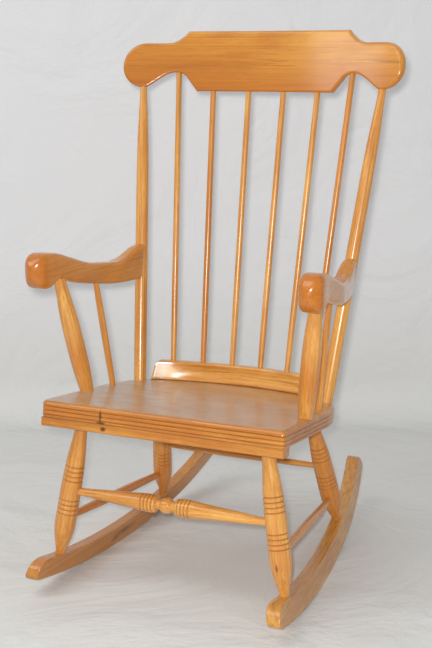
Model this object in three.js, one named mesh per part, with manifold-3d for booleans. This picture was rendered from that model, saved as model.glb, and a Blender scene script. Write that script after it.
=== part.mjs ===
// A Boston rocking chair in varnished hardwood: a plank seat on four turned legs and two rockers,
// a fan of spindles between a curved rail and a bent crest, and scrolled arms.
// Millimetres. X is to the right of someone facing the chair, Y runs from its front to its back, Z is up.
import * as THREE from "three";
import { mergeVertices } from "three/addons/utils/BufferGeometryUtils.js";
import Module from "manifold-3d";

const wasm = await Module();
wasm.setup();
const { clamp, degToRad, lerp } = THREE.MathUtils;

// Sizes: fits
const FIT_GAP = 0.3; // glue room round a tenon and under a glued face
const DRILL_OVERRUN = 12; // how far a drill starts outside the wood
const TENON_TAPER_SHARE = 0.86; // a tenon's end, of the diameter at its shoulder

// Sizes: seat, one thick plank, low at the back, with a reeded edge
const SEAT_WIDTH = 502;
const SEAT_DEPTH = 460; // from the front edge to the middle of the back edge, along the plank
const SEAT_THICKNESS = 32.5;
const SEAT_FRONT_HEIGHT = 391; // top face at the front edge
const SEAT_PITCH = degToRad(7.5);
const SEAT_SIDE_LENGTH = 240; // straight part of each side
const SEAT_SIDE_RADIUS = 300; // plan curve of the side behind it
const SEAT_REAR_CORNER_RADIUS = 55;
const SEAT_BACK_RADIUS = 447; // plan curve of the back edge
const SEAT_FRONT_CORNER_RADIUS = 9;
const SEAT_TOP_ROUND = 8;
const SEAT_BOTTOM_ROUND = 3;
const REED_START = 10.5; // first scratched line, below the top face
const REED_PITCH = 8;
const REED_COUNT = 3;
const REED_WIDTH = 3;
const REED_DEPTH = 1.6;

// Sizes: strip glued under the front edge
const STRIP_HEIGHT = 18;
const STRIP_DEPTH = 34;
const STRIP_ROUND = 4;
const STRIP_SETBACK = 3; // from the front edge and from each side

// Sizes: rail that carries the back spindles, curved like the seat's back edge
const RAIL_THICKNESS = 26;
const RAIL_HEIGHT = 43;
const RAIL_SETBACK = 9; // its back face, in from the seat's back edge
const RAIL_HALF_SPAN = 211; // half its foot, along its middle
const RAIL_END_SLOPE = 9; // how much shorter each end is at the top
const RAIL_END_SKEW = 3; // how much longer it is at the front face than square, and shorter at the back
const RAIL_HOLLOW = 4; // scoop of its front face
const RAIL_EASE = 4;

// Sizes: legs, long vases with two groups of scored rings
const LEG_FOOT_DIAMETER = 18.5;
const LEG_BELLY_DIAMETER = 41;
const LEG_NECK_DIAMETER = 24.5;
const LEG_FOOT_TENON = 22;
const LEG_NECK_TENON = 22;
const LEG_LOWER_RINGS = 100; // middle of the lower group, from the foot
const LEG_UPPER_RINGS = 170;
const LEG_RING_PITCH = 9.7;
const RING_WIDTH = 3.6;
const RING_DEPTH = 1.7;
const FRONT_LEG_INSET = { x: 59, y: 64 }; // neck, in from the seat's side and front edge
const REAR_LEG_INSET = { x: 79, y: 89 }; // neck, in from the seat's side and back edge
const FRONT_LEG_SPLAY = { x: 48, y: -26 }; // foot, out from the neck
const REAR_LEG_SPLAY = { x: 37, y: 81 };

// Sizes: rockers, leaning boards, long at the back
const ROCKER_THICKNESS = 28;
const ROCKER_HEIGHT = 41;
const ROCKER_LEAN = degToRad(12); // top inwards
const ROCKER_OFFSET = 2; // its middle, out from the line between the legs' feet
const ROCKER_RADIUS = 1300; // the runner's curve
const ROCKER_TAIL_RADIUS = 650; // its tighter curve behind the rear legs
const ROCKER_CONTACT = 261; // where it touches the floor, behind the seat's front edge
const ROCKER_TAIL_START = 470;
const ROCKER_BACK = 692;
const ROCKER_FRONT = 54; // how far the nose stands in front of the seat
const ROCKER_TOE_ROUND = 32;
const ROCKER_HEEL_ROUND = 16;
const ROCKER_RUNNER_ROUND = 9; // at both ends of the underside
const ROCKER_EASE = 3;
const RUNNER_FACET = 36; // length of one flat of the runner

// Sizes: stretchers
const STRETCHER_TENON = 13; // into the leg, from its surface
const FRONT_STRETCHER_HEIGHT = 194.5;
const FRONT_STRETCHER_DIAMETER = 36;
const FRONT_STRETCHER_END_DIAMETER = 15.5;
const FRONT_BEAD_DIAMETER = 31;
const FRONT_BEAD_LENGTH = 24;
const FRONT_BEAD_OFFSET = -6; // its middle, from the middle of the stretcher
const FRONT_WAIST_DIAMETER = 21;
const FRONT_WAIST_LENGTH = 9; // from the bead to the ringed swelling
const FRONT_RING_START = 6.5; // first ring, from the swelling's shoulder
const FRONT_RING_PITCH = 7.5;
const SIDE_STRETCHER_FRONT_HEIGHT = 136;
const SIDE_STRETCHER_REAR_HEIGHT = 106;
const SIDE_STRETCHER_DIAMETER = 19;
const SIDE_STRETCHER_END_DIAMETER = 14.5;
const REAR_STRETCHER_HEIGHT = 184;
const REAR_STRETCHER_DIAMETER = 15.5;
const REAR_STRETCHER_END_DIAMETER = 11.5;

// Sizes: crest, a wide board, bent in plan, with a round ear at each end
const CREST_RISE = 569.5; // lower edge, above the seat's front edge
const CREST_BACK = 544; // lower edge's middle, behind the seat's front edge
const CREST_LEAN = degToRad(13);
const CREST_BEND_RADIUS = 760;
const CREST_THICKNESS = 18;
const CREST_HEIGHT = 131;
const CREST_DEEP_HALF = 156; // half the straight lower edge
const CREST_TOP_HALF = 184; // half the straight top edge
const CREST_EAR_RADIUS = 48.3;
const CREST_EAR_AT = 276; // middle of the ear, along the bend
const CREST_EAR_HEIGHT = 56.8; // middle of the ear above the lower edge
const CREST_NOTCH_AT = 207; // crown of the notch before the ear
const CREST_NOTCH_HEIGHT = 41;
const CREST_SWEEP_END = 228; // where the top edge's hollow reaches the ear
const CREST_EASE = 5.5;

// Sizes: back posts and spindles
const POST_INSET = { x: 38, y: 110 }; // foot, in from the seat's side and back edge
const POST_HEAD_AT = 276; // along the crest's bend
const POST_FOOT_DIAMETER = 22;
const POST_BELLY_DIAMETER = 26;
const POST_HEAD_DIAMETER = 15;
const POST_FOOT_TENON = 24;
const POST_HEAD_TENON = 24;
const SPINDLE_COUNT = 6;
const SPINDLE_FOOT_PITCH = 66; // along the rail's middle
const SPINDLE_HEAD_PITCH = 80; // along the crest's bend
const SPINDLE_FOOT_DIAMETER = 11;
const SPINDLE_BELLY_DIAMETER = 13;
const SPINDLE_HEAD_DIAMETER = 10.5;
const SPINDLE_TENON = 20;

// Sizes: arms, thick sawn scrolls, wider and further apart at the front
const ARM_SCROLL_RADIUS = 35.2;
const ARM_SCROLL_BACK = 59; // middle of the scroll, behind the seat's front edge
const ARM_SCROLL_RISE = 240; // middle of the scroll, above the seat's front edge
const ARM_NOTCH_BACK = 97; // notch under the scroll's rear
const ARM_NOTCH_RISE = 219.5;
const ARM_WAIST_BACK = 302; // lowest place of the arm's top
const ARM_WAIST_RISE = 221.5;
const ARM_WAIST_THICKNESS = 46;
const ARM_REAR_RISE = 245.5; // top edge at the back post
const ARM_REAR_THICKNESS = 74;
const ARM_FRONT_WIDTH = 41;
const ARM_REAR_WIDTH = 27;
const ARM_OVERHANG = 26; // middle of its front end, out from the seat's side
const ARM_REAR_OFFSET = 2.2; // middle of its rear end, out from the post's axis
const ARM_COPE_DEPTH = 7; // how deep its rear end is hollowed round the post
const ARM_EASE = 8;
const ARM_TIP_ROUND = 14; // of the scroll's upright front corners
const ARM_TENON_DIAMETER = 10;
const ARM_TENON = 9; // into the back post, from its surface
const ARM_TENON_ROOT = 20;

// Sizes: arm posts and arm spindles
const ARM_POST_INSET = { x: 16, y: 155 }; // foot, in from the seat's side and front edge
const ARM_POST_HEAD_BACK = 111; // behind the seat's front edge
const ARM_POST_HEAD_INSET = 6; // in from the middle of the arm
const ARM_POST_FOOT_DIAMETER = 22;
const ARM_POST_BELLY_DIAMETER = 28;
const ARM_POST_HEAD_DIAMETER = 20;
const ARM_POST_TENON = 22;
const ARM_SPINDLE_INSET = { x: 23, y: 253 };
const ARM_SPINDLE_HEAD_BACK = 232;
const ARM_SPINDLE_HEAD_INSET = 12;
const ARM_SPINDLE_END_DIAMETER = 9.5;
const ARM_SPINDLE_BELLY_DIAMETER = 12.5;
const ARM_SPINDLE_TENON = 16;

// Finishes
const amberVarnish = { color: 0xc47a1e, roughness: 0.32, metalness: 0 }; // turned sticks
const russetVarnish = { color: 0x96481a, roughness: 0.3, metalness: 0 }; // crest and arms
const seatVarnish = { color: 0x8a5a30, roughness: 0.28, metalness: 0 }; // seat, strip and rail
const runnerVarnish = { color: 0x8c4a1c, roughness: 0.42, metalness: 0 }; // rockers

// Smoothness of the curves
const CORNER_STEPS = 2;
const SEAT_FRONT_CORNER_STEPS = 2;
const SEAT_SIDE_STEPS = 4;
const SEAT_REAR_CORNER_STEPS = 3;
const SEAT_BACK_STEPS = 6;
const RAIL_STEPS = 12;
const RAIL_HOLLOW_STEPS = 3;
const CREST_PLAIN_STEPS = 4;
const CREST_CURVE_STEPS = 4;
const EAR_STEPS = 5;
const BOARD_CORNER_STEPS = 3;
const SCROLL_STEPS = 10;
const ARM_CURVE_STEPS = 7;

// Frames: everything stands in joinery, whose origin lies on the floor under the seat's front edge
const chair = new THREE.Group();
const joinery = new THREE.Group();
chair.add(joinery);

// The seat's own frame has its XY plane on the top face and its origin at the middle of the front edge.
const seatFrame = new THREE.Group();
seatFrame.position.z = SEAT_FRONT_HEIGHT;
seatFrame.rotation.x = -SEAT_PITCH;
joinery.add(seatFrame);
chair.updateMatrixWorld(true);

const SIDES = [["left", -1], ["right", 1]];
const QUARTER = Math.PI / 2;
const at = (x, y, z) => new THREE.Vector3(x, y, z);
const flat = (x, y) => new THREE.Vector2(x, y);
const series = (start, pitch, count) => Array.from({ length: count }, (_, i) => start + i * pitch);

function addPiece(name, geometry, finish, parent = joinery) {
  const piece = new THREE.Mesh(geometry, new THREE.MeshStandardMaterial(finish));
  piece.name = name;
  parent.add(piece);
  piece.updateWorldMatrix(true, false);
  return piece;
}

// Joins equal loops of section points into one closed skin.
// place(station, point) puts a section point in space; a section turns left seen from the last station.
function loft(stations, sectionAt, place) {
  const sections = stations.map(sectionAt);
  const points = sections.flatMap((section, i) => section.map((point) => place(stations[i], point)));
  const count = sections[0].length;
  const faces = [];
  for (let ring = 0; ring < stations.length - 1; ring++) {
    for (let i = 0; i < count; i++) {
      const a = ring * count + i;
      const b = ring * count + ((i + 1) % count);
      faces.push(a, b, b + count, a, b + count, a + count);
    }
  }
  const last = (stations.length - 1) * count;
  for (const [a, b, c] of THREE.ShapeUtils.triangulateShape(sections[0], [])) faces.push(c, b, a);
  for (const [a, b, c] of THREE.ShapeUtils.triangulateShape(sections.at(-1), [])) {
    faces.push(last + a, last + b, last + c);
  }
  return new THREE.BufferGeometry().setFromPoints(points).setIndex(faces);
}

// Runs a section, drawn as [back, up], across the chair.
function runAcross(section, width, settings) {
  const run = new THREE.ExtrudeGeometry(section, { depth: width, bevelEnabled: false, ...settings });
  const axes = new THREE.Matrix4().makeBasis(at(0, 1, 0), at(0, 0, 1), at(1, 0, 0));
  return run.translate(0, 0, -width / 2).applyMatrix4(axes);
}

// Points of an arc, in equal steps from one angle to the other.
function arc(centre, radius, from, to, steps) {
  return Array.from({ length: steps + 1 }, (_, i) => {
    const angle = lerp(from, to, i / steps);
    return flat(centre.x + radius * Math.cos(angle), centre.y + radius * Math.sin(angle));
  });
}

// A box section with rounded corners, from low to high, turning left.
function easedBox(halfWidth, low, high, ease) {
  const round = Math.min(ease, halfWidth, (high - low) / 2);
  const [x, bottom, top] = [halfWidth - round, low + round, high - round];
  return [
    ...arc(flat(x, bottom), round, -QUARTER, 0, CORNER_STEPS),
    ...arc(flat(x, top), round, 0, QUARTER, CORNER_STEPS),
    ...arc(flat(-x, top), round, QUARTER, 2 * QUARTER, CORNER_STEPS),
    ...arc(flat(-x, bottom), round, 2 * QUARTER, 3 * QUARTER, CORNER_STEPS),
  ];
}

// Half thickness of a board with rounded edges, at a distance in from its end.
function easedHalf(thickness, ease, fromEnd) {
  const short = Math.max(0, ease - fromEnd);
  return thickness / 2 - ease + Math.sqrt(ease ** 2 - short ** 2);
}

// Places a table of shares between two points: shares of the way along and of the way up.
const spread = (a, b, shares) => shares.map(([along, up]) => flat(lerp(a.x, b.x, along), lerp(a.y, b.y, up)));

const smooth = (points, steps) => new THREE.SplineCurve(points).getPoints(steps);

// Height of an outline at a place along it; the outline never doubles back.
function heightAt(outline, place) {
  const after = outline.findIndex((point) => point.x >= place);
  if (after === 0) return outline[0].y;
  if (after < 0) return outline.at(-1).y;
  const [a, b] = [outline[after - 1], outline[after]];
  return lerp(a.y, b.y, (place - a.x) / (b.x - a.x));
}

// Sorted places, without those that crowd the one before.
function thinned(places, least) {
  const kept = [];
  for (const place of places.sort((a, b) => a - b)) {
    if (kept.length === 0 || place - kept.at(-1) > least) kept.push(place);
  }
  return kept;
}

// Cutting and joining
function solidOf(geometry) {
  const bare = geometry.clone();
  bare.deleteAttribute("normal");
  bare.deleteAttribute("uv");
  const merged = mergeVertices(bare);
  const mesh = new wasm.Mesh({
    numProp: 3,
    vertProperties: new Float32Array(merged.attributes.position.array),
    triVerts: new Uint32Array(merged.index.array),
  });
  return new wasm.Manifold(mesh);
}

function geometryOf(solid) {
  const mesh = solid.getMesh();
  return new THREE.BufferGeometry()
    .setAttribute("position", new THREE.BufferAttribute(mesh.vertProperties, mesh.numProp))
    .setIndex(new THREE.BufferAttribute(mesh.triVerts, 1));
}

// Tools are given in the chair's axes, and act on a piece wherever it is placed.
const toolFor = (piece, tool) => solidOf(tool.clone().applyMatrix4(piece.matrixWorld.clone().invert()));

function cutAway(piece, tools) {
  const cut = tools.reduce((solid, tool) => solid.subtract(toolFor(piece, tool)), solidOf(piece.geometry));
  piece.geometry = geometryOf(cut);
}

function joinTo(piece, tool) {
  piece.geometry = geometryOf(solidOf(piece.geometry).add(toolFor(piece, tool)));
}

// Turned sticks: a stick stands on the line from foot to head, where its axis enters the wood that holds it.
// Its ends run on as tapered tenons, and it stays plain for a short lead outside the wood.
const STICK_LEAD = 5;

function turnStick(name, foot, head, form) {
  const length = foot.distanceTo(head);
  const outline = form.outline(length);
  const profile = [
    flat(0, -form.footTenon),
    flat((form.footDiameter / 2) * TENON_TAPER_SHARE, -form.footTenon),
    flat(form.footDiameter / 2, 0),
    ...outline.map((point) => flat(point.y, point.x)),
    flat(form.headDiameter / 2, length),
    flat((form.headDiameter / 2) * TENON_TAPER_SHARE, length + form.headTenon),
    flat(0, length + form.headTenon),
  ];
  const piece = addPiece(name, new THREE.LatheGeometry(profile, form.sides), form.finish);
  piece.position.copy(foot);
  piece.quaternion.setFromUnitVectors(at(0, 1, 0), head.clone().sub(foot).normalize());
  piece.updateWorldMatrix(true, false);
  return { piece, foot, head, length, outline, form };
}

// The outline of a plain swelling stick, [along, radius], between its two leads.
// Its table gives [share of the way along, share of the swelling from the end's size to the belly's].
function swelling(length, form) {
  const { footDiameter, bellyDiameter, headDiameter, swellShares } = form;
  const bellyShare = swellShares.find(([, out]) => out === 1)[0];
  const curve = smooth(swellShares.map(([along, out]) => flat(along, out)), form.rings);
  return curve.map((station) => {
    const endDiameter = station.x < bellyShare ? footDiameter : headDiameter;
    const diameter = lerp(endDiameter, bellyDiameter, clamp(station.y, 0, 1));
    return flat(lerp(STICK_LEAD, length - STICK_LEAD, station.x), diameter / 2);
  });
}

// Scores V-shaped rings into an outline.
function scoreRings(outline, places) {
  const half = RING_WIDTH / 2;
  const cuts = places.flatMap((place) => [
    flat(place - half, heightAt(outline, place - half)),
    flat(place, heightAt(outline, place) - RING_DEPTH),
    flat(place + half, heightAt(outline, place + half)),
  ]);
  const clear = outline.filter((point) => places.every((place) => Math.abs(place - point.x) > RING_WIDTH));
  return [...clear, ...cuts].sort((a, b) => a.x - b.x);
}

// The tapered drill that makes room for a stick's tenon.
function socket(stick, end) {
  const { form, length, piece } = stick;
  const isFoot = end === "foot";
  const diameter = isFoot ? form.footDiameter : form.headDiameter;
  const depth = (isFoot ? form.footTenon : form.headTenon) + FIT_GAP;
  const profile = [
    flat(0, -depth),
    flat((diameter / 2) * TENON_TAPER_SHARE + FIT_GAP, -depth),
    flat(diameter / 2 + FIT_GAP, 0),
    flat(diameter / 2 + FIT_GAP, DRILL_OVERRUN),
    flat(0, DRILL_OVERRUN),
  ];
  const drill = new THREE.LatheGeometry(profile, form.sides);
  if (!isFoot) drill.rotateZ(Math.PI).translate(0, length, 0);
  return drill.applyMatrix4(piece.matrixWorld);
}

// A stick's own shape, grown by the glue gap.
function grown(stick) {
  const sides = stick.outline.map((point) => flat(point.y + FIT_GAP, point.x));
  const profile = [flat(0, sides[0].y), ...sides, flat(0, sides.at(-1).y)];
  return new THREE.LatheGeometry(profile, stick.form.sides).applyMatrix4(stick.piece.matrixWorld);
}

// Where a stick's axis passes a height above the floor.
const axisAt = ({ foot, head }, height) => foot.clone().lerp(head, (height - foot.z) / (head.z - foot.z));

const radiusAt = (stick, point) => heightAt(stick.outline, point.distanceTo(stick.foot));

// Seat: the middle of a round corner that runs smoothly into two larger arcs
function cornerMiddle(centreA, reachA, centreB, reachB) {
  const apart = centreA.distanceTo(centreB);
  const along = (reachA ** 2 - reachB ** 2 + apart ** 2) / (2 * apart);
  const out = Math.sqrt(reachA ** 2 - along ** 2);
  const line = centreB.clone().sub(centreA).normalize();
  return flat(centreA.x + line.x * along + line.y * out, centreA.y + line.y * along - line.x * out);
}

// The plank's outline from above, moved in from the edge all round.
function seatOutline(inset) {
  const half = SEAT_WIDTH / 2;
  const side = flat(half - SEAT_SIDE_RADIUS, SEAT_SIDE_LENGTH);
  const back = flat(0, SEAT_DEPTH - SEAT_BACK_RADIUS);
  const reachSide = SEAT_SIDE_RADIUS - SEAT_REAR_CORNER_RADIUS;
  const reachBack = SEAT_BACK_RADIUS - SEAT_REAR_CORNER_RADIUS;
  const corner = cornerMiddle(back, reachBack, side, reachSide);
  const sideTurn = Math.atan2(corner.y - side.y, corner.x - side.x);
  const backTurn = Math.atan2(corner.y - back.y, corner.x - back.x);
  const front = SEAT_FRONT_CORNER_RADIUS;
  const right = [
    ...arc(flat(half - front, front), front - inset, -QUARTER, 0, SEAT_FRONT_CORNER_STEPS),
    ...arc(side, SEAT_SIDE_RADIUS - inset, 0, sideTurn, SEAT_SIDE_STEPS),
    ...arc(corner, SEAT_REAR_CORNER_RADIUS - inset, sideTurn, backTurn, SEAT_REAR_CORNER_STEPS).slice(1),
  ];
  const left = right.map((point) => flat(-point.x, point.y)).reverse();
  const rear = arc(back, SEAT_BACK_RADIUS - inset, backTurn, 2 * QUARTER - backTurn, SEAT_BACK_STEPS);
  return [...right, ...rear.slice(1, -1), ...left];
}

// The moulded edge from the bottom face up to the top face: how far in, and how far down.
function seatEdge() {
  const underCentre = flat(SEAT_BOTTOM_ROUND, SEAT_THICKNESS - SEAT_BOTTOM_ROUND);
  const under = arc(underCentre, SEAT_BOTTOM_ROUND, QUARTER, 2 * QUARTER, CORNER_STEPS);
  const reeds = series(REED_COUNT - 1, -1, REED_COUNT).flatMap((number) => {
    const down = REED_START + number * REED_PITCH;
    return [flat(0, down + REED_WIDTH / 2), flat(REED_DEPTH, down), flat(0, down - REED_WIDTH / 2)];
  });
  const overCentre = flat(SEAT_TOP_ROUND, SEAT_TOP_ROUND);
  const over = arc(overCentre, SEAT_TOP_ROUND, 2 * QUARTER, 3 * QUARTER, CORNER_STEPS);
  return [...under, ...reeds, ...over];
}

const seatGeometry = loft(
  seatEdge(),
  (station) => seatOutline(station.x),
  (station, point) => at(point.x, point.y, -station.y),
);
const seat = addPiece("seat_plank", seatGeometry, seatVarnish, seatFrame);

function stripSection() {
  const front = STRIP_SETBACK;
  const back = STRIP_SETBACK + STRIP_DEPTH;
  const top = -SEAT_THICKNESS - FIT_GAP;
  const bottom = top - STRIP_HEIGHT;
  const section = new THREE.Shape([flat(back, top), flat(front, top), flat(front, bottom + STRIP_ROUND)]);
  section.quadraticCurveTo(front, bottom, front + STRIP_ROUND, bottom);
  section.lineTo(back - STRIP_ROUND, bottom);
  section.quadraticCurveTo(back, bottom, back, bottom + STRIP_ROUND);
  return section;
}
const stripGeometry = runAcross(stripSection(), SEAT_WIDTH - 2 * STRIP_SETBACK, { curveSegments: CORNER_STEPS });
addPiece("seat_front_strip", stripGeometry, seatVarnish, seatFrame);

// Spindle rail: a point of it lies along its middle, out towards its back, and up from the seat
const railRadius = SEAT_BACK_RADIUS - RAIL_SETBACK - RAIL_THICKNESS / 2;
function onRail(along, out, up) {
  const angle = along / railRadius;
  const reach = railRadius + out;
  return at(reach * Math.sin(angle), SEAT_DEPTH - SEAT_BACK_RADIUS + reach * Math.cos(angle), up);
}

// Rounded at the back, scooped at the front.
function railSection() {
  const box = easedBox(RAIL_THICKNESS / 2, FIT_GAP, RAIL_HEIGHT, RAIL_EASE);
  const scoop = series(1, 1, RAIL_HOLLOW_STEPS - 1).map((step) => {
    const share = step / RAIL_HOLLOW_STEPS;
    const up = lerp(RAIL_HEIGHT - RAIL_EASE, FIT_GAP + RAIL_EASE, share);
    return flat(-RAIL_THICKNESS / 2 + RAIL_HOLLOW * Math.sin(share * 2 * QUARTER), up);
  });
  const lastCorner = box.length - (CORNER_STEPS + 1);
  return [...box.slice(0, lastCorner), ...scoop, ...box.slice(lastCorner)];
}

const railGeometry = loft(
  series(0, 1, RAIL_STEPS + 1).map((step) => lerp(-1, 1, step / RAIL_STEPS)),
  () => railSection(),
  (endShare, point) => {
    const skew = (2 * RAIL_END_SKEW * point.x) / RAIL_THICKNESS;
    const halfSpan = RAIL_HALF_SPAN - skew - (RAIL_END_SLOPE * point.y) / RAIL_HEIGHT;
    return onRail(endShare * halfSpan, point.x, point.y);
  },
);
const rail = addPiece("spindle_rail", railGeometry, seatVarnish, seatFrame);

// Crest: its lower and upper edges run from its middle to the ear's tip, along the bend and up the board
const EAR_START = degToRad(-97); // where the notch runs into the ear's circle
const NOTCH_RAMP_SHARES = [[0.5, 0.76], [0.68, 1]];
const NOTCH_FALL_SHARES = [[0.37, 0], [0.77, 0.87]];
const SWEEP_SHARES = [[0.5, 1]];

function crestEdges() {
  const ear = flat(CREST_EAR_AT, CREST_EAR_HEIGHT);
  const earArc = arc(ear, CREST_EAR_RADIUS, EAR_START, 0, EAR_STEPS);
  const deepEnd = flat(CREST_DEEP_HALF, 0);
  const notch = flat(CREST_NOTCH_AT, CREST_NOTCH_HEIGHT);
  const [rampEnd, notchBend] = spread(deepEnd, notch, NOTCH_RAMP_SHARES);
  const [shoulder, hip] = spread(notch, earArc[0], NOTCH_FALL_SHARES);
  const lower = [
    flat(0, 0),
    deepEnd,
    ...new THREE.QuadraticBezierCurve(rampEnd, notchBend, notch).getPoints(CREST_CURVE_STEPS),
    ...new THREE.CubicBezierCurve(notch, shoulder, hip, earArc[0]).getPoints(CREST_CURVE_STEPS).slice(1),
    ...earArc.slice(1),
  ];
  const topEnd = flat(CREST_TOP_HALF, CREST_HEIGHT);
  const sweepEnd = flat(CREST_SWEEP_END, CREST_EAR_HEIGHT + CREST_EAR_RADIUS);
  const [sweepBend] = spread(topEnd, sweepEnd, SWEEP_SHARES);
  const upper = [
    flat(0, CREST_HEIGHT),
    ...new THREE.QuadraticBezierCurve(topEnd, sweepBend, sweepEnd).getPoints(CREST_CURVE_STEPS),
    ...arc(ear, CREST_EAR_RADIUS, QUARTER, 0, EAR_STEPS),
  ];
  return { lower, upper };
}
const crestOutline = crestEdges();
const crestHalfSpan = CREST_EAR_AT + CREST_EAR_RADIUS;

// A point of the crest: along its bend, out towards its back, and up the board from its lower edge.
function onCrest(along, out, up) {
  const angle = along / CREST_BEND_RADIUS;
  const reach = CREST_BEND_RADIUS + out;
  return at(
    reach * Math.sin(angle),
    CREST_BACK - CREST_BEND_RADIUS + reach * Math.cos(angle) + up * Math.sin(CREST_LEAN),
    SEAT_FRONT_HEIGHT + CREST_RISE + up * Math.cos(CREST_LEAN),
  );
}

const crestFoot = (along) => onCrest(along, 0, heightAt(crestOutline.lower, Math.abs(along)));

// Places along the crest: far apart where it is straight, close where its outline turns.
function crestStations() {
  const plain = series(0, CREST_DEEP_HALF / CREST_PLAIN_STEPS, CREST_PLAIN_STEPS);
  const turning = [...crestOutline.lower, ...crestOutline.upper].map((point) => point.x);
  const shaped = turning.filter((place) => place >= CREST_DEEP_HALF);
  const half = thinned([...plain, ...shaped], CREST_EASE / 2);
  half[half.length - 1] = crestHalfSpan;
  return [...half.slice(1).reverse().map((place) => -place), ...half];
}

function crestSection(along) {
  const place = Math.abs(along);
  const half = easedHalf(CREST_THICKNESS, CREST_EASE, crestHalfSpan - place);
  const low = heightAt(crestOutline.lower, place);
  const high = Math.max(heightAt(crestOutline.upper, place), low + CREST_EASE / 2);
  return easedBox(half, low, high, CREST_EASE);
}

const crestGeometry = loft(crestStations(), crestSection, (along, point) => onCrest(along, point.x, point.y));
const crest = addPiece("crest_rail", crestGeometry, russetVarnish);

// Back posts and spindles
const postForm = {
  footDiameter: POST_FOOT_DIAMETER,
  bellyDiameter: POST_BELLY_DIAMETER,
  headDiameter: POST_HEAD_DIAMETER,
  footTenon: POST_FOOT_TENON,
  headTenon: POST_HEAD_TENON,
  swellShares: [[0, 0], [0.05, 0.7], [0.14, 1], [0.3, 0.97], [0.5, 0.86], [0.68, 0.6], [0.84, 0.22], [1, 0]],
  rings: 8,
  sides: 10,
  finish: amberVarnish,
  outline: (length) => swelling(length, postForm),
};
const spindleForm = {
  footDiameter: SPINDLE_FOOT_DIAMETER,
  bellyDiameter: SPINDLE_BELLY_DIAMETER,
  headDiameter: SPINDLE_HEAD_DIAMETER,
  footTenon: SPINDLE_TENON,
  headTenon: SPINDLE_TENON,
  swellShares: [[0, 0], [0.12, 0.75], [0.28, 1], [0.5, 0.8], [0.75, 0.35], [1, 0]],
  rings: 6,
  sides: 8,
  finish: amberVarnish,
  outline: (length) => swelling(length, spindleForm),
};

// A point of the seat's top face.
const onSeat = (x, back) => seatFrame.localToWorld(at(x, back, 0));

const posts = SIDES.map(([side, sign]) => {
  const foot = onSeat(sign * (SEAT_WIDTH / 2 - POST_INSET.x), SEAT_DEPTH - POST_INSET.y);
  return turnStick(`back_post_${side}`, foot, crestFoot(sign * POST_HEAD_AT), postForm);
});

const spindles = series(1, 1, SPINDLE_COUNT).map((number) => {
  const fromMiddle = number - (SPINDLE_COUNT + 1) / 2;
  const foot = seatFrame.localToWorld(onRail(fromMiddle * SPINDLE_FOOT_PITCH, 0, RAIL_HEIGHT));
  return turnStick(`back_spindle_${number}`, foot, crestFoot(fromMiddle * SPINDLE_HEAD_PITCH), spindleForm);
});

// Rockers: the underside and the top edge from the side, behind the seat's front edge and above the floor
const runnerCentre = flat(ROCKER_CONTACT, ROCKER_RADIUS);
const tailTurn = Math.asin((ROCKER_TAIL_START - ROCKER_CONTACT) / ROCKER_RADIUS);
const tailCentre = flat(
  ROCKER_TAIL_START - ROCKER_TAIL_RADIUS * Math.sin(tailTurn),
  ROCKER_RADIUS - (ROCKER_RADIUS - ROCKER_TAIL_RADIUS) * Math.cos(tailTurn),
);

// The flats are counted from the place that stands on the floor, so that one of them lies level there.
function rockerEdge(inset) {
  const noseTurn = Math.asin((ROCKER_CONTACT + ROCKER_FRONT) / ROCKER_RADIUS);
  const endTurn = Math.asin((ROCKER_BACK - tailCentre.x) / ROCKER_TAIL_RADIUS);
  const facetTurn = RUNNER_FACET / ROCKER_RADIUS;
  const fore = series(-facetTurn / 2, -facetTurn, Math.floor(noseTurn / facetTurn)).reverse();
  const aft = series(facetTurn / 2, facetTurn, Math.floor(tailTurn / facetTurn));
  const main = [-noseTurn, ...fore, ...aft].map((turn) => {
    const reach = ROCKER_RADIUS - inset;
    return flat(runnerCentre.x + reach * Math.sin(turn), runnerCentre.y - reach * Math.cos(turn));
  });
  const tailSteps = Math.round(((endTurn - tailTurn) * ROCKER_TAIL_RADIUS) / RUNNER_FACET);
  const tail = arc(tailCentre, ROCKER_TAIL_RADIUS - inset, tailTurn - QUARTER, endTurn - QUARTER, tailSteps);
  return [...main, ...tail];
}
const runner = rockerEdge(0);
const rockerTop = rockerEdge(ROCKER_HEIGHT);

// Legs
const RINGS_IN_GROUP = 4;
const legRings = [LEG_LOWER_RINGS, LEG_UPPER_RINGS].flatMap((middle) => {
  const start = middle - (LEG_RING_PITCH * (RINGS_IN_GROUP - 1)) / 2;
  return series(start, LEG_RING_PITCH, RINGS_IN_GROUP);
});

const legForm = {
  footDiameter: LEG_FOOT_DIAMETER,
  bellyDiameter: LEG_BELLY_DIAMETER,
  headDiameter: LEG_NECK_DIAMETER,
  footTenon: LEG_FOOT_TENON,
  headTenon: LEG_NECK_TENON,
  swellShares: [
    [0, 0], [0.04, 0.19], [0.1, 0.55], [0.17, 0.88], [0.235, 1], [0.4, 0.98],
    [0.54, 0.88], [0.65, 0.7], [0.75, 0.42], [0.85, 0.13], [0.92, 0.02], [1, 0],
  ],
  rings: 11,
  sides: 12,
  finish: amberVarnish,
  outline: (length) => scoreRings(swelling(length, legForm), legRings),
};

const onRocker = (x, back) => at(x, back, heightAt(rockerTop, back));
function underSeat(x, back) {
  const drop = SEAT_THICKNESS / Math.cos(SEAT_PITCH) + back * Math.tan(SEAT_PITCH);
  return at(x, back, SEAT_FRONT_HEIGHT - drop);
}

// A leg's neck is set in from the seat's edges, and its foot stands out from its neck.
function makeLeg(name, sign, neck, splay) {
  const foot = onRocker(sign * (neck.x + splay.x), neck.y + splay.y);
  return turnStick(name, foot, underSeat(sign * neck.x, neck.y), legForm);
}

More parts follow.
